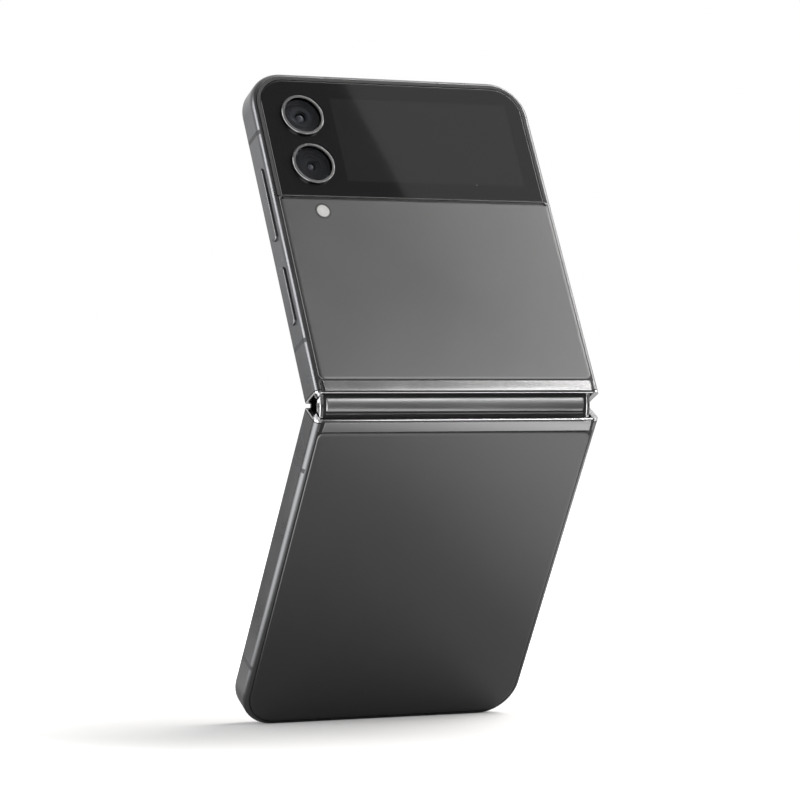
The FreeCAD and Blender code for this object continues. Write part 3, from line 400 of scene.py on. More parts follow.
# %% Handling group
BLOT_EDGE = (0.48, 0.68)
HAIRLINE = (0.0, 0.006)
KEPT_PATCHES_PER_METRE = 190.0
handling_group, given, last = new_group(
    "handling_marks", {"Smudges per metre": 45.0, "Scratches per metre": 110.0,
                       "Scratch Share": 0.35}, ["Smudge", "Scratch"])
blot = noise(given["Place"], given["Smudges per metre"], 5.0, 0.62)
gaps = cells("DISTANCE_TO_EDGE", given["Place"], given["Scratches per metre"])
thin = stretch(gaps["Distance"], HAIRLINE, (1.0, 0.0))
somewhere = noise(given["Place"], KEPT_PATCHES_PER_METRE, 1.0, 0.5)
limit = calculate("SUBTRACT", 1.0, given["Scratch Share"])
kept = calculate("GREATER_THAN", somewhere, limit)
put_out(handling_group, last, Smudge=stretch(blot, BLOT_EDGE),
        Scratch=calculate("MULTIPLY", thin, kept))

# %% [markdown]
# The dust group picks out a few tiny specks, which show on dark gloss in any studio picture.

# %% Dust group
SPECK_EDGE = (0.06, 0.11)
dust_group, given, last = new_group(
    "dust_specks", {"Specks per metre": 700.0, "Speck Share": 0.06}, ["Speck"])
spots = cells("F1", given["Place"], given["Specks per metre"])
near_middle = stretch(spots["Distance"], SPECK_EDGE, (1.0, 0.0))
lucky = feed_all(add_node(dust_group, "ShaderNodeSeparateColor"), Color=spots["Color"])
few = calculate("LESS_THAN", lucky[0], given["Speck Share"])
put_out(dust_group, last, Speck=calculate("MULTIPLY", near_middle, few))

# %% [markdown]
# ## Finishes
#
# One material is made for each material slot of the record and given to the nodes that name the
# slot. All of them read Object coordinates: the model's objects sit at the origin, so a pattern
# stays put on its piece.

# %% Helpers for finishes
NOISE_ENDS = (0.3, 0.7)
finishes = {}


def new_finish(name, colour, roughness, metallic=0.0, **settings):
    """A material with its Principled shader set plainly, and the coordinates of its patterns."""
    made = bpy.data.materials.new(name)
    made.use_nodes = True
    shader = made.node_tree.nodes["Principled BSDF"]
    feed_all(shader, Base_Color=colour, Roughness=roughness, Metallic=metallic, **settings)
    finishes[name] = made
    place = add_node(made.node_tree, "ShaderNodeTexCoord").outputs["Object"]
    return shader.inputs, place


def use_group(group, place, **values):
    """Place a shader group, feed it the place, and set its other inputs."""
    node = add_node(place.id_data, "ShaderNodeGroup", node_tree=group)
    return feed_all(node, Place=place, **values)


def marks_of_use(place, smudges=45.0, scratches=110.0, share=0.35):
    """The handling group with its numbers of smudges and scratches per metre."""
    return use_group(handling_group, place, Smudges_per_metre=smudges,
                     Scratches_per_metre=scratches, Scratch_Share=share)


def grain_of(place, pits, clouds):
    """The grain group with its numbers of pits and clouds per metre."""
    return use_group(grain_group, place, Pits_per_metre=pits, Clouds_per_metre=clouds)


def add_bump(shader, height, distance, strength=1.0):
    """Small heights on the surface, in metres."""
    node = add_node(height.id_data, "ShaderNodeBump")
    bump = feed_all(node, Distance=distance, Strength=strength, Height=height)
    feed(shader["Normal"], bump["Normal"])


def over(base, mask, amount):
    """A value moved by a mask times an amount."""
    return calculate("ADD", base, calculate("MULTIPLY", mask, amount), use_clamp=True)


print("finish helpers ready")

# %% [markdown]
# The rails, keys and tray are aluminium, blasted with fine beads and dyed a dark grey. Blasting
# leaves pits too small to see one by one; they make the highlight along the rounded edge soft.
# Hairlines show as brighter metal. At the fold the end of each rail has a cut and polished edge.
# Beside it runs a near-black band, painted shade of a groove that is not cut; a small group finds
# both from the distance to the fold line.

# %% Fold edge group
CUT_REACH, GROOVE_REACH = 0.60 * MM, 0.84 * MM
fold_edge_group, given, last = new_group("fold_edge", {}, ["Along", "Cut", "Groove"])
distances = []
for half in (UPPER, LOWER):
    *way, start = half.inverted()[2]
    distances.append(calculate("ADD", vector_sum("DOT_PRODUCT", given["Place"], way), start))
along_half = calculate("MAXIMUM", *distances)
cut = calculate("LESS_THAN", along_half, CUT_REACH)
# Just beyond the cut edge lies the band of painted groove shade.
near = calculate("LESS_THAN", along_half, GROOVE_REACH)
put_out(fold_edge_group, last, Along=along_half, Cut=cut,
        Groove=calculate("SUBTRACT", near, cut))

# %% Rail metal
RAIL_DARK, RAIL_LIGHT = (0.172, 0.174, 0.18), (0.225, 0.227, 0.234)
RAIL_WORN, RAIL_CUT, RAIL_GROOVE_SHADE = (0.5, 0.5, 0.51), (0.66, 0.66, 0.67), (0.012, 0.012, 0.012)
shader, place = new_finish("rail_metal", (0.20, 0.202, 0.208), 0.3, 1.0)
grain = grain_of(place, 14000.0, 85.0)
marks = marks_of_use(place, 60.0, 150.0, 0.12)
fold = use_group(fold_edge_group, place)
tone = blend_colours(grain["Clouds"], RAIL_DARK, RAIL_LIGHT)
tone = blend_colours(calculate("MULTIPLY", marks["Scratch"], 0.5), tone, RAIL_WORN)
tone = blend_colours(fold["Cut"], tone, RAIL_CUT)
# The groove band is painted shade: near-black metal where no groove is cut.
feed(shader["Base Color"], blend_colours(fold["Groove"], tone, RAIL_GROOVE_SHADE))
rough = over(stretch(grain["Clouds"], NOISE_ENDS, (0.25, 0.33)), marks["Smudge"], 0.06)
feed(shader["Roughness"], over(rough, fold["Cut"], -0.12))
add_bump(shader, grain["Pits"], 0.008 * MM)
print("rail metal done")

# %% [markdown]
# The other metals show fine lines. The lips along the fold, the beads under them and the caps of
# the spine are cut after dyeing and polished, so they are brighter and mirror the room. The lower
# lip is the same metal in a darker copy of the finish, which is painted shade. The spine is drawn
# metal whose lines run along the fold and stretch the highlight into one long band. Inside, plates
# and gears are stamped or sintered steel, the magnets are nickel plated, and the coil is varnished
# copper.

# %% Metals with lines
def lined_metal(name, tones, rough, lines, use, mark="Smudge", added=0.0, bump=None):
    """A metal whose tone and gloss follow fine lines; use gives its smudges and scratches."""
    shader, place = new_finish(name, tones[1], rough[1], 1.0)
    squeeze, per_metre = lines
    lines = use_group(brushed_group, place, Squeeze=squeeze, Lines_per_metre=per_metre)
    marks = marks_of_use(place, **use)
    feed(shader["Base Color"], blend_colours(lines["Broad Lines"], *tones))
    gloss = stretch(lines["Lines"], NOISE_ENDS, rough)
    feed(shader["Roughness"], over(gloss, marks[mark], added))
    if bump:
        source, height = bump
        heights = marks["Scratch"] if source == "scratches" else lines["Lines"]
        add_bump(shader, heights, height * MM, 0.5)


ALONG_FOLD, DRAWN, TURNED, STAMPED = ((0.01, 1.0, 1.0), (0.012, 1.0, 1.0), (1.0, 1.0, 1.0),
                                      (1.0, 0.05, 0.05))
FEW_MARKS = {"smudges": 90.0, "scratches": 260.0, "share": 0.25}
# The darker lower lip copy is painted shade on the same metal.
for name, tones in (("polished_metal", ((0.44, 0.44, 0.446), (0.475, 0.475, 0.481))),
                    ("lower_lip_metal", ((0.34, 0.34, 0.346), (0.37, 0.37, 0.376)))):
    lined_metal(name, tones, (0.18, 0.21), (ALONG_FOLD, 9000.0), FEW_MARKS, added=0.03,
                bump=("scratches", 0.002))
lined_metal("bright_metal", ((0.74, 0.74, 0.75), (0.88, 0.88, 0.885)), (0.07, 0.14),
            (ALONG_FOLD, 7000.0), {"smudges": 200.0, "scratches": 320.0, "share": 0.2},
            added=0.08, bump=("scratches", 0.003))
lined_metal("spine_metal", ((0.40, 0.40, 0.405), (0.46, 0.46, 0.465)), (0.28, 0.36),
            (DRAWN, 5200.0), {}, added=0.07, bump=("lines", 0.004))
lined_metal("ring_metal", ((0.26, 0.26, 0.265), (0.36, 0.36, 0.365)), (0.14, 0.24),
            (TURNED, 9000.0), {})
for name, tones, rough, per_metre in (
        ("steel", ((0.44, 0.44, 0.45), (0.58, 0.58, 0.59)), (0.25, 0.38), 3800.0),
        ("magnet", ((0.50, 0.49, 0.47), (0.60, 0.59, 0.57)), (0.15, 0.28), 2500.0),
        ("copper", ((0.55, 0.24, 0.12), (0.72, 0.36, 0.20)), (0.23, 0.36), 2600.0)):
    lined_metal(name, tones, rough, (STAMPED, per_metre), {"share": 0.4}, "Scratch", 0.2,
                ("lines", 0.01))
print("metals with lines:", ", ".join(finishes))

# %% [markdown]
# The backs are strengthened glass whose outside is etched to a satin, over a dark grey coat. The
# etch spreads the lamp's reflection into a slow sheen across the panel, and fingers leave
# slightly smoother patches on it.

# %% Finishes with grain, and the matte glass
def grained(name, tones, rough, grain, rough_from="Pits", smudges=None,
            bump=("Pits", 0.01, 1.0), **settings):
    """A finish whose tone follows slow clouds, with fine pits and a few smudges."""
    shader, place = new_finish(name, tones[1], rough[1], **settings)
    grain = grain_of(place, *grain)
    feed(shader["Base Color"], blend_colours(grain["Clouds"], *tones))
    gloss = stretch(grain[rough_from], NOISE_ENDS, rough)
    if smudges:
        *marks, added = smudges
        gloss = over(gloss, marks_of_use(place, *marks)["Smudge"], added)
    feed(shader["Roughness"], gloss)
    source, height, strength = bump
    add_bump(shader, grain[source], height * MM, strength)


grained("matte_glass", ((0.134, 0.1345, 0.136), (0.148, 0.1485, 0.15)), (0.285, 0.32),
        (11000.0, 28.0), "Clouds", (34.0, 60.0, 0.2, -0.01), ("Pits", 0.006, 1.0),
        metallic=0.92, IOR=1.5)
print("matte glass done")

# %% [markdown]
# The cover window and the folding display are clear glass or film over a black layer. They are
# all reflection: nearly black in front of something dark, and as bright as the lamp where they
# mirror it. A little haze, a few smudges and specks of dust keep them from looking like a hole.
# Behind the window, the resting cover display is a shade lighter than the black round it.

# %% Glossy black window and display
DUST_TONE = (0.11, 0.11, 0.11)
RESTING_SCREEN = (0.0105, 0.0105, 0.0115)
SCREEN_ACROSS, SCREEN_HALF_WIDE = 7.0 * MM, 22.95 * MM
SCREEN_ALONG, SCREEN_HALF_HIGH = 64.9 * MM, 11.0 * MM


def within(value, middle, half):
    """One where a value is nearer to a middle than a half width, else zero."""
    apart = calculate("ABSOLUTE", calculate("SUBTRACT", value, middle))
    return calculate("LESS_THAN", apart, half)


for name, colour, roughness in (("window_glass", (0.006, 0.006, 0.0065), 0.035),
                                ("display", (0.006, 0.006, 0.007), 0.06)):
    shader, place = new_finish(name, colour, roughness, IOR=1.5, Coat_Weight=0.3,
                               Coat_Roughness=0.02)
    marks = marks_of_use(place, 38.0, 45.0, 0.12)
    specks = use_group(dust_group, place, Specks_per_metre=520.0, Speck_Share=0.02)
    tone = blend_colours(specks["Speck"], colour, DUST_TONE)
    if name == "window_glass":
        along_half = use_group(fold_edge_group, place)["Along"]
        inside = calculate("MULTIPLY",
                           within(axes_of(place)["X"], SCREEN_ACROSS, SCREEN_HALF_WIDE),
                           within(along_half, SCREEN_ALONG, SCREEN_HALF_HIGH))
        tone = blend_colours(inside, tone, RESTING_SCREEN)
    feed(shader["Base Color"], tone)
    smeared = over(roughness, marks["Smudge"], 0.03)
    feed(shader["Roughness"], over(smeared, specks["Speck"], 0.4))
    add_bump(shader, grain_of(place, 900.0, 120.0)["Clouds"], 0.01 * MM, 0.25)
print("glossy finishes done")

# %% [markdown]
# The camera covers are clear glass with a coating against reflections, so one looks down into the
# barrels. The lenses in the barrels are coated too, and look nearly black.

# %% Clear glass and lens coating
COATING = ((0.012, 0.012, 0.016), (0.03, 0.028, 0.034))
shader, place = new_finish("clear_glass", (0.86, 0.88, 0.92), 0.0,
                           Transmission_Weight=1.0, IOR=1.12)
marks = marks_of_use(place, 120.0, 200.0, 0.08)
feed(shader["Roughness"], over(0.0, marks["Smudge"], 0.03))

shader, place = new_finish("lens_coating", COATING[0], 0.05, IOR=1.45)
clouds = noise(place, 300.0, 2.0, 0.5)
feed(shader["Base Color"], blend_colours(clouds, *COATING))
marks = marks_of_use(place, 400.0)
feed(shader["Roughness"], over(0.04, marks["Smudge"], 0.06))
print("clear glass and lens coating done")

# %% [markdown]
# Moulded plastics keep the fine sparks of their mould. The black one seals the window and holds
# the display's edge, the grey one fills the slots that part the rail into aerials, and the lamp's
# lens is milky. The camera barrels are blackened so that they give back almost no light.

# %% Plastics
for name, low, high, roughness, clouds, ior in (
        ("black_plastic", (0.010, 0.010, 0.011), (0.018, 0.018, 0.019), 0.42, 260.0, 1.5),
        ("grey_plastic", (0.045, 0.046, 0.049), (0.065, 0.066, 0.07), 0.45, 260.0, 1.5),
        ("lens_plastic", (0.33, 0.33, 0.325), (0.52, 0.52, 0.51), 0.3, 700.0, 1.5),
        ("barrel_black", (0.0035, 0.0035, 0.0038), (0.006, 0.006, 0.0065), 0.6, 260.0, 1.25),
        ("barrel_grey", (0.010, 0.010, 0.0108), (0.016, 0.016, 0.017), 0.5, 260.0, 1.25)):
    grained(name, (low, high), (roughness - 0.06, roughness + 0.06), (7000.0, clouds),
            smudges=(150.0, -0.05), IOR=ior)
print("plastics done")

# %% [markdown]
# The batteries wear a dark wrapped foil with soft creases, and the boards a green lacquer.

# %% Foil and circuit boards
for name, low, high, roughness, clouds in (
        ("cell_foil", (0.030, 0.030, 0.033), (0.06, 0.06, 0.065), 0.35, 140.0),
        ("board_green", (0.012, 0.055, 0.032), (0.02, 0.085, 0.05), 0.38, 420.0)):
    grained(name, (low, high), (roughness - 0.08, roughness + 0.08), (2400.0, clouds),
            bump=("Clouds", 0.06, 0.6))
print("finishes:", ", ".join(sorted(finishes)))

# %% [markdown]
# Every node of the model gets the finish of its slot. The camera rings are turned.

# %% Dress the nodes
slots = {row["node"]: row["material_slot"] for row in frame["record"]["subparts"]}
for name, node in nodes.items():
    node.data.materials.clear()
    finish = "ring_metal" if name.startswith("camera_ring") else slots[name]
    node.data.materials.append(finishes[finish])
print("dressed", len(nodes), "nodes")

# %% [markdown]
# ## Shapes made here
#
# The finest forms are drawn in the frame of a half, in millimetres, and two helpers make nearly
# all of them. One pulls an outline across the phone into a bar with softened ends. The other gives
# a flat outline a thickness and a rounded edge.

# %% Finished pieces
SHARP_DEG = 40.0
SAME_POINT = 0.5e-6


def face_outwards(mesh):
    """Join points that lie on each other, and turn all faces outwards."""
    shape = bmesh.new()
    shape.from_mesh(mesh)
    bmesh.ops.remove_doubles(shape, verts=shape.verts, dist=SAME_POINT)
    bmesh.ops.recalc_face_normals(shape, faces=shape.faces)
    shape.to_mesh(mesh)
    shape.free()


def finish_piece(piece, body, finish, replaced=()):
    """Give a piece its material, slot and body, and hide the nodes it replaces."""
    piece.data.materials.clear()
    piece.data.materials.append(finishes[finish])
    piece.data.shade_smooth()
    piece.data.set_sharp_from_angle(angle=math.radians(SHARP_DEG))
    if body:
        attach(piece, body)
    if replaced:
        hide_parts(*replaced)


def make_piece(name, points, faces, where, finish, replaced=()):
    """A closed mesh in the frame; where is the matrix and the body of its part of the phone."""
    place, body = where
    mesh = bpy.data.meshes.new(name)
    mesh.from_pydata([place @ (Vector(point) * MM) for point in points], [], faces)
    face_outwards(mesh)
    piece = bpy.data.objects.new(name, mesh)
    bpy.context.scene.collection.objects.link(piece)
    finish_piece(piece, body, finish, replaced)
    return piece


# %% Bars and panels
ROUND_STEPS = (0, 22, 45, 68, 90)
EDGE_STEPS = (90, 72, 54, 36, 18, 0)
MOST_SHRUNK = 0.9
CORNER_STEPS = 10
LEAST_RADIUS, LEAST_LEAN = 0.001, 0.5


def loft(rings):
    """Points and faces of a closed skin over rings of equally many points."""
    count = len(rings[0])
    points = [point for ring in rings for point in ring]
    faces = []
    for low in range(0, len(points) - count, count):
        for i in range(count):
            j = (i + 1) % count
            faces.append((low + i, low + j, low + count + j, low + count + i))
    faces.append(tuple(range(count)))
    faces.append(tuple(range(len(points) - count, len(points))))
    return points, faces


def bar_across(name, outline, reach, rounding, where, finish, replaced=()):
    """An outline of (height, along) points, pulled across the phone, its ends rounded over."""
    start, end = reach if isinstance(reach, tuple) else (-reach, reach)
    middle_t = sum(t for t, v in outline) / len(outline)
    middle_v = sum(v for t, v in outline) / len(outline)
    half_high = max(abs(t - middle_t) for t, v in outline)
    half_wide = max(abs(v - middle_v) for t, v in outline)
    angles = [math.radians(step) for step in ROUND_STEPS] if rounding else [0.0]
    steps = [(rounding * (1 - math.cos(a)), rounding * (1 - math.sin(a))) for a in angles]
    places = [(start + gone, inward) for gone, inward in steps]
    places += [(end - gone, inward) for gone, inward in reversed(steps)]
    rings = []
    for across, inward in places:
        high = 1 - min(inward / half_high, MOST_SHRUNK)
        wide = 1 - min(inward / half_wide, MOST_SHRUNK)
        rings.append([(across, middle_t + (t - middle_t) * high, middle_v + (v - middle_v) * wide)
                      for t, v in outline])
    return make_piece(name, *loft(rings), where, finish, replaced)


def inset_outline(outline, distance):
    """A flat outline moved inwards by a distance, point by point."""
    moved = []
    for i, here in enumerate(outline):
        before, after = outline[i - 1], outline[(i + 1) % len(outline)]
        first = Vector((here[0] - before[0], here[1] - before[1])).normalized()
        second = Vector((after[0] - here[0], after[1] - here[1])).normalized()
        side = (first + second).normalized()
        lean = max(side.dot(first), LEAST_LEAN)
        moved.append((here[0] - side.y * distance / lean, here[1] + side.x * distance / lean))
    return moved


def panel(name, outline, levels, rounding, where, finish, replaced=(), drop=None):
    """A flat outline of (across, along) points between two levels, its upper edge rounded."""
    top, bottom = levels
    drop = rounding if drop is None else drop
    rings = []
    for angle in (math.radians(step) for step in EDGE_STEPS):
        height = top + drop * (1 - math.sin(angle))
        inset = inset_outline(outline, rounding * (1 - math.cos(angle)))
        rings.append([(u, height, v) for u, v in inset])
    rings.append([(u, bottom, v) for u, v in outline])
    return make_piece(name, *loft(rings), where, finish, replaced)


def rounded_box(half_width, near, far, near_radius, far_radius, across=0.0):
    """Points of a rounded rectangle between two distances from the fold."""
    points = []
    for right, level, radius, start in ((-1, near, near_radius, 180), (1, near, near_radius, 270),
                                        (1, far, far_radius, 0), (-1, far, far_radius, 90)):
        radius = max(radius, LEAST_RADIUS)
        centre_u = across + right * (half_width - radius)
        centre_v = level + radius if level == near else level - radius
        for i in range(CORNER_STEPS + 1):
            angle = math.radians(start + 90 * i / CORNER_STEPS)
            points.append((centre_u + radius * math.cos(angle),
                           centre_v + radius * math.sin(angle)))
    return points


print("shape helpers ready")

# %% [markdown]
# ## Backs with softened edges
#
# Next to the fold, the real back glass has small round corners, and a black seal shows around it
# as a fine line. The far corners of the lower glass follow the rail, and the upper glass ends at
# the window. The edge of the glass is rounded over, which gives its light outline.

# %% Back glass and its seal
GLASS_HALF_WIDTH = 34.50
GLASS_START = 3.05
GLASS_THICKNESS = 0.6
GLASS_ROUNDING, GLASS_DROP = 0.95, 0.26
NEAR_CORNER = 1.7
SEAL_MARGIN, SEAL_NEAR_MARGIN = 0.33, 0.16
SEAL_TOP, SEAL_ROUNDING = 0.3, 0.05
BOND = 0.02

for side, where, glass_end, far_corner, far_margin in (
        ("upper", ON_UPPER, 49.68, 0.0, 0.0), ("lower", ON_LOWER, 81.15, 7.55, SEAL_MARGIN)):
    outline = rounded_box(GLASS_HALF_WIDTH, GLASS_START, glass_end, NEAR_CORNER, far_corner)
    back = panel(side + "_back_glass_dressed", outline, (0.0, GLASS_THICKNESS - BOND),
                 GLASS_ROUNDING, where, "matte_glass", (side + "_back_glass",), GLASS_DROP)
    bed = rounded_box(GLASS_HALF_WIDTH + SEAL_MARGIN, GLASS_START - SEAL_NEAR_MARGIN,
                      glass_end + far_margin, 0.0, far_corner + far_margin)
    panel(side + "_back_seal", bed, (SEAL_TOP, GLASS_THICKNESS), SEAL_ROUNDING, where,
          "black_plastic")
print("each back has", len(back.data.polygons), "faces")

# %% [markdown]
# ## Lips and spine
#
# Along the fold each half ends in a satin trim. Under the trim's edge runs a polished bead, and
# between them a black strip is painted shadow, the shade of the step from trim to bead. Between
# the two beads lies the spine: a rounded, drawn metal bar with a small flange below it, and a
# polished cap at each end. Under them a black core is painted shade: it shows as the dark gaps
# beside the bar and between the bar and the caps, where the real spine is metal.

# %% Trims, shadow strips and beads
TRIM_NEAR, TRIM_FAR = 0.42, 2.86
TRIM_END_NEAR, TRIM_END_FAR = 33.62, 33.80
TRIM_LEVELS, TRIM_ROUNDING = (0.0, 0.42), 0.06
LIP_SHADOW_OUTLINE = [(0.3, 0.52), (0.3, 2.9), (0.98, 2.9), (0.98, 0.3), (0.5, 0.3)]
LIP_SHADOW_REACH = 34.4
BEAD_MIDDLE, BEAD_HALVES = (0.93, 0.50), (0.38, 0.35)
BEAD_REACH, BEAD_ROUNDING = 34.45, 0.3
BEAD_POINTS = 20

trim_outline = [(-TRIM_END_FAR, TRIM_FAR), (-TRIM_END_NEAR, TRIM_NEAR),
                (TRIM_END_NEAR, TRIM_NEAR), (TRIM_END_FAR, TRIM_FAR)]
bead_outline = [(BEAD_MIDDLE[0] + BEAD_HALVES[0] * math.cos(math.tau * i / BEAD_POINTS),
                 BEAD_MIDDLE[1] + BEAD_HALVES[1] * math.sin(math.tau * i / BEAD_POINTS))
                for i in range(BEAD_POINTS)]
# The lower trim takes the darker copy of the polished metal, painted shade.
for side, where, finish in (("upper", ON_UPPER, "polished_metal"),
                            ("lower", ON_LOWER, "lower_lip_metal")):
    trim = panel(side + "_hinge_trim_dressed", trim_outline, TRIM_LEVELS, TRIM_ROUNDING, where,
                 finish, (side + "_hinge_trim",))
    # The black strip under the trim's edge is painted shadow.
    bar_across(side + "_lip_shadow_strip", LIP_SHADOW_OUTLINE, LIP_SHADOW_REACH, 0.0, where, "black_plastic")
    bead = bar_across(side + "_lip_bead", bead_outline, BEAD_REACH, BEAD_ROUNDING, where,
                      "bright_metal")
print("lips:", trim.name, bead.name)

# %% Outline of the spine
SPINE_DEPTH = 4.69
SPINE_BLEND = math.radians(16.0)
FLANK_REACH = math.radians(50.0)
OUTLINE_STEPS = 10


def spine_outline(inset):
    """The line of the spine in (height, along), from one flank over the crown to the other."""
    crown = SPINE_DEPTH + PIVOT_FROM_FOLD / math.tan(SPINE_BLEND) - inset
    crown_centre = PIVOT_HEIGHT - SPINE_DEPTH + inset + crown
    flank = SPINE_DEPTH - PIVOT_FROM_FOLD * math.tan(SPINE_BLEND / 2) - inset
    side = []
    for i in range(OUTLINE_STEPS + 1):
        angle = FLANK_REACH + (SPINE_BLEND - FLANK_REACH) * i / OUTLINE_STEPS
        side.append((PIVOT_HEIGHT - flank * math.cos(angle),
                     -PIVOT_FROM_FOLD - flank * math.sin(angle)))
    limit = math.atan2(-side[-1][1], crown_centre - side[-1][0])
    turns = [limit * (2 * i / OUTLINE_STEPS - 1) for i in range(1, OUTLINE_STEPS)]
    top = [(crown_centre - crown * math.cos(a), crown * math.sin(a)) for a in turns]
    return side + top + [(t, -v) for t, v in reversed(side)]


print("the spine's outline has", len(spine_outline(0.0)), "points")

# %% Spine shade core, bar, flange and caps
CORE_INSETS, CORE_REACH = (0.36, 0.44), 33.4
BAR_LOW, BAR_HIGH, BAR_TOP, BAR_FALL = 1.50, 2.10, 1.44, 0.72
BAR_REACH, BAR_ROUNDING, BAR_STEPS = 32.55, 0.35, 12
FLANGE = [(1.80, -1.56), (1.72, -1.62), (1.72, -1.84), (1.80, -1.92), (2.1, -1.92), (2.1, -1.56)]
FLANGE_ROUNDING = 0.05
CAP_INSET, CAP_START, CAP_END, CAP_ROUNDING = 0.16, 33.30, 34.15, 0.15

# The black core is painted shade: it fills the gaps beside the bar, where the real spine is metal.
core = spine_outline(CORE_INSETS[0]) + list(reversed(spine_outline(CORE_INSETS[1])))
bar_across("spine_shade_core", core, CORE_REACH, 0.0, ON_SPINE, "black_plastic")
bar_turns = [math.pi / 2 * i / BAR_STEPS for i in range(-BAR_STEPS, BAR_STEPS + 1)]
bar_outline = [(BAR_TOP + BAR_FALL * (1 - math.cos(a)),
                (BAR_HIGH if a > 0 else BAR_LOW) * math.sin(a)) for a in bar_turns]
bar = bar_across("spine_bar", bar_outline, BAR_REACH, BAR_ROUNDING, ON_SPINE, "spine_metal",
                 ("spine_cover",))
bar_across("spine_flange", FLANGE, BAR_REACH, FLANGE_ROUNDING, ON_SPINE, "spine_metal")
bar_across("spine_cap_left", spine_outline(CAP_INSET), (-CAP_END, -CAP_START), CAP_ROUNDING,
           ON_SPINE, "bright_metal", ("spine_end_caps",))
bar_across("spine_cap_right", spine_outline(CAP_INSET), (CAP_START, CAP_END), CAP_ROUNDING,
           ON_SPINE, "bright_metal")
print("spine:", bar.name, len(bar.data.polygons), "faces")

# %% [markdown]
# ## Cameras and lamp
#
# Under each cover glass one looks into a barrel: a flat black ring, shallow grooves that catch
# stray light, and a small domed lens at the bottom. Its profile of (radius, height) points is
# turned about the camera's axis. The upper barrel shows a wider grey ring, the lower one is
# nearly black.

# %% Turned pieces
CAMERA_ACROSS = -24.3
TURN_STEPS = 96
DOME_STEPS = 12


def turned(name, profile, along, finish, replaced=()):
    """A closed piece of the upper half: a loop of points turned about a camera's axis."""
    count = len(profile)
    points, faces = [], []
    for i in range(TURN_STEPS):
        angle = math.tau * i / TURN_STEPS
        points += [(CAMERA_ACROSS + r * math.cos(angle), t, along + r * math.sin(angle))
                   for r, t in profile]
        low, high = i * count, (i + 1) % TURN_STEPS * count
        for k in range(count):
            m = (k + 1) % count
            if profile[k][0] > 0 or profile[m][0] > 0:
                faces.append((low + k, low + m, high + m, high + k))
    return make_piece(name, points, faces, ON_UPPER, finish, replaced)


def dome(radius, top, rise, base):
    """The profile of a lens: a shallow dome on a short edge, closed through its axis."""
    angles = [math.pi / 2 * i / DOME_STEPS for i in range(DOME_STEPS + 1)]
    rim = [(radius * math.sin(a), top + rise * (1 - math.cos(a))) for a in angles]
    return rim + [(radius, base), (0.0, base)]


print("lathe ready")

# %% Camera barrels
LENS_RISE, LENS_BASE = 0.62, 1.7
HOUSING_HALF, HOUSING_LEVELS, HOUSING_CORNER, HOUSING_ROUNDING = 4.3, (1.62, 4.0), 1.0, 0.3
FUNNELS = {
    "top": (70.8, [(4.25, 0.03), (3.75, 0.05), (3.70, 0.14), (3.30, 0.16), (3.26, 0.24),
                   (2.75, 0.30), (2.70, 0.42), (1.62, 0.70), (1.55, 0.95), (1.25, 1.00),
                   (1.20, 1.60), (4.25, 1.60)],
            [(2.66, 0.40), (1.70, 0.66), (1.70, 0.74), (2.66, 0.50)], 1.18, 0.86),
    "bottom": (58.0, [(4.25, 0.03), (3.80, 0.05), (3.76, 0.20), (3.10, 0.32), (3.05, 0.44),
                      (2.20, 0.62), (2.15, 0.74), (1.32, 0.90), (1.28, 1.05), (1.05, 1.08),
                      (1.00, 1.60), (4.25, 1.60)],
               [(1.62, 0.80), (1.36, 0.87), (1.36, 0.93), (1.62, 0.90)], 0.98, 0.98)}
for tag, (along, funnel, inner_ring, lens_radius, lens_top) in FUNNELS.items():
    turned("camera_barrel_" + tag, funnel, along, "barrel_black", ("camera_module_" + tag,))
    turned("camera_inner_ring_" + tag, inner_ring, along, "barrel_grey")
    lens = dome(lens_radius, lens_top, LENS_RISE, LENS_BASE)
    turned("camera_lens_" + tag, lens, along, "lens_coating")
    outline = rounded_box(HOUSING_HALF, along - HOUSING_HALF, along + HOUSING_HALF,
                          HOUSING_CORNER, HOUSING_CORNER, CAMERA_ACROSS)
    panel("camera_housing_" + tag, outline, HOUSING_LEVELS, HOUSING_ROUNDING, ON_UPPER, "steel")
print("cameras:", ", ".join(sorted(FUNNELS)))

# %% [markdown]
# The photo lamp is a milky lens, set in a thin dark rim. A hairline of bare metal parts the
# glossy window from the satin glass.

# %% Photo lamp and window edge
LAMP_ALONG = 45.9
LAMP_RIM = [(1.98, -0.01), (1.80, -0.03), (1.74, 0.1), (1.74, 0.55), (1.98, 0.55)]
WINDOW_EDGE = [(0.0, 49.69), (0.0, 49.83), (0.4, 49.83), (0.4, 49.69)]
WINDOW_EDGE_REACH = 33.9
turned("lamp_rim", LAMP_RIM, LAMP_ALONG, "black_plastic")
turned("lamp_lens", dome(1.73, -0.06, 0.12, 0.6), LAMP_ALONG, "lens_plastic", ("flash_lens",))
bar_across("window_edge", WINDOW_EDGE, WINDOW_EDGE_REACH, 0.0, ON_UPPER, "rail_metal")
print("photo lamp at", CAMERA_ACROSS, LAMP_ALONG)

# %% [markdown]
# ## The bend of the display
#
# Where the display bends it can follow neither half alone. It is made of two strips that meet
# over the spine. Each runs from the middle of the spine to the display of its own half and is
# curved smoothly in between. They are shaped for the rest pose only and belong to no body. There
# they form one arc that runs without a kink into the flat stretches of the display.

# %% Two bending strips
DISPLAY_BACK, DISPLAY_FRONT = 5.92, 6.48
BEND_STARTS = 2.47
DISPLAY_HALF_WIDTH = 34.45
BEND_STEPS = 14


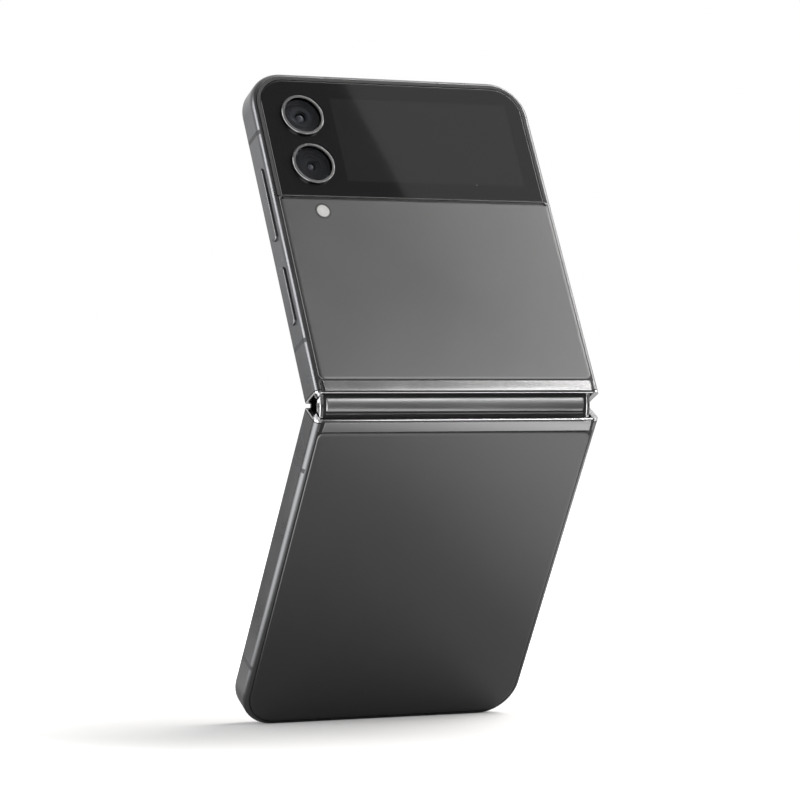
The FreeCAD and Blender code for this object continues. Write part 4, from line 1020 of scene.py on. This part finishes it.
def bend_strip(side, where, sign, replaced):
    """One strip of the display from the middle of the spine to its half."""
    place, body = where
    end = SPINE.inverted() @ (place @ (Vector((0.0, DISPLAY_BACK, BEND_STARTS)) * MM)) / MM
    outer = abs(end.z) / math.sin(FOLD_HALF)
    centre = end.y + outer * math.cos(FOLD_HALF)
    arcs = []
    for radius in (outer, outer - DISPLAY_FRONT + DISPLAY_BACK):
        angles = [FOLD_HALF * i / BEND_STEPS for i in range(BEND_STEPS + 1)]
        arcs.append([(centre - radius * math.cos(a), sign * radius * math.sin(a))
                     for a in angles])
    strip = bar_across("display_bend_" + side, arcs[0] + arcs[1][::-1], DISPLAY_HALF_WIDTH, 0.0,
                       (SPINE, None), "display", replaced)
    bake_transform(strip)
    return strip


bend_strip("upper", ON_UPPER, 1, ("display_fold_zone",))
strip = bend_strip("lower", ON_LOWER, -1, ())
print("display bends in", strip.name, "and its twin")

# %% [markdown]
# ## Things that repeat
#
# The openings of the speaker, the contacts of the socket and the turns of the charging coil are
# rows of like pieces. One node tree sets a small pin on every point of a grid. The tree has named
# inputs, so each use gives only its counts and sizes. Another tree sweeps a round wire along a
# flat spiral.

# %% Helpers for geometry trees
def geometry_tree(name, inputs):
    """An empty geometry tree with named inputs."""
    return new_tree(name, "GeometryNodeTree", inputs, ["Geometry"], "NodeSocketGeometry")


def geometry_node(tree, kind, **values):
    """What a new geometry node makes of the given values."""
    return feed_all(tree.nodes.new("GeometryNode" + kind), **values)[0]


def end_tree(tree, last, made, finish):
    """End a tree in real geometry with its material."""
    real = geometry_node(tree, "RealizeInstances", Geometry=made)
    paint = geometry_node(tree, "SetMaterial", Geometry=real, Material=finishes[finish])
    put_out(tree, last, Geometry=paint)


def grown(name, tree, values, finish, spot, turn=Matrix()):
    """Run a geometry tree and keep the result as a plain piece of the lower half."""
    place, body = ON_LOWER
    piece = bpy.data.objects.new(name, bpy.data.meshes.new(name))
    bpy.context.scene.collection.objects.link(piece)
    modifier = piece.modifiers.new("grow", "NODES")
    modifier.node_group = tree
    for item in tree.interface.items_tree:
        if item.in_out == "INPUT":
            modifier[item.identifier] = values[item.name]
    bpy.context.view_layer.update()
    evaluated = piece.evaluated_get(bpy.context.evaluated_depsgraph_get())
    plain = bpy.data.meshes.new_from_object(evaluated)
    piece.modifiers.clear()
    piece.data = plain
    plain.transform(place @ Matrix.Translation(Vector(spot) * MM) @ turn)
    face_outwards(plain)
    finish_piece(piece, body, finish)
    print(name, "has", len(plain.polygons), "faces")


print("geometry helpers ready")

# %% A pin on every point of a grid
PIN_SIDES = 10
pins, given, last = geometry_tree("pin_grid", {"Columns": 4, "Rows": 2, "Width": 0.01,
                                               "Depth": 0.005, "Radius": 0.0002,
                                               "Height": 0.0002})
grid = geometry_node(pins, "MeshGrid", Vertices_X=given["Columns"], Vertices_Y=given["Rows"],
                     Size_X=given["Width"], Size_Y=given["Depth"])
pin = geometry_node(pins, "MeshCylinder", Vertices=PIN_SIDES, Radius=given["Radius"],
                    Depth=given["Height"])
end_tree(pins, last, geometry_node(pins, "InstanceOnPoints", Points=grid, Instance=pin),
         "black_plastic")

# %% Speaker openings and socket contacts
grown("speaker_perforations", pins,
      {"Columns": 44, "Rows": 5, "Width": 18.6 * MM, "Depth": 1.8 * MM, "Radius": 0.13 * MM,
       "Height": 0.04 * MM}, "black_plastic", (17.0, 3.2, 80.69))
grown("socket_contacts", pins,
      {"Columns": 12, "Rows": 2, "Width": 5.5 * MM, "Depth": 0.74 * MM, "Radius": 0.12 * MM,
       "Height": 3.4 * MM}, "copper", (0.0, 3.2, 78.4))

# %% Turns of the charging coil
WIRE_SIDES = 6
STEPS_PER_TURN = 40
turns, given, last = geometry_tree("coil_turns", {"Turns": 12, "First Radius": 0.009,
                                                  "Pitch": 0.0008, "Wire Radius": 0.0002})
growth = calculate("MULTIPLY", given["Turns"], given["Pitch"])
path = geometry_node(turns, "CurveSpiral", Resolution=STEPS_PER_TURN, Rotations=given["Turns"],
                     Start_Radius=given["First Radius"], Height=0.0,
                     End_Radius=calculate("ADD", growth, given["First Radius"]))
wire = geometry_node(turns, "CurvePrimitiveCircle", Resolution=WIRE_SIDES,
                     Radius=given["Wire Radius"])
end_tree(turns, last, geometry_node(turns, "CurveToMesh", Curve=path, Profile_Curve=wire,
                                    Fill_Caps=True), "copper")
grown("coil_windings", turns,
      {"Turns": 11, "First Radius": 9.5 * MM, "Pitch": 0.83 * MM, "Wire Radius": 0.17 * MM},
      "copper", (0.0, 1.09, 39.5), Matrix.Rotation(math.radians(90.0), 4, "X"))
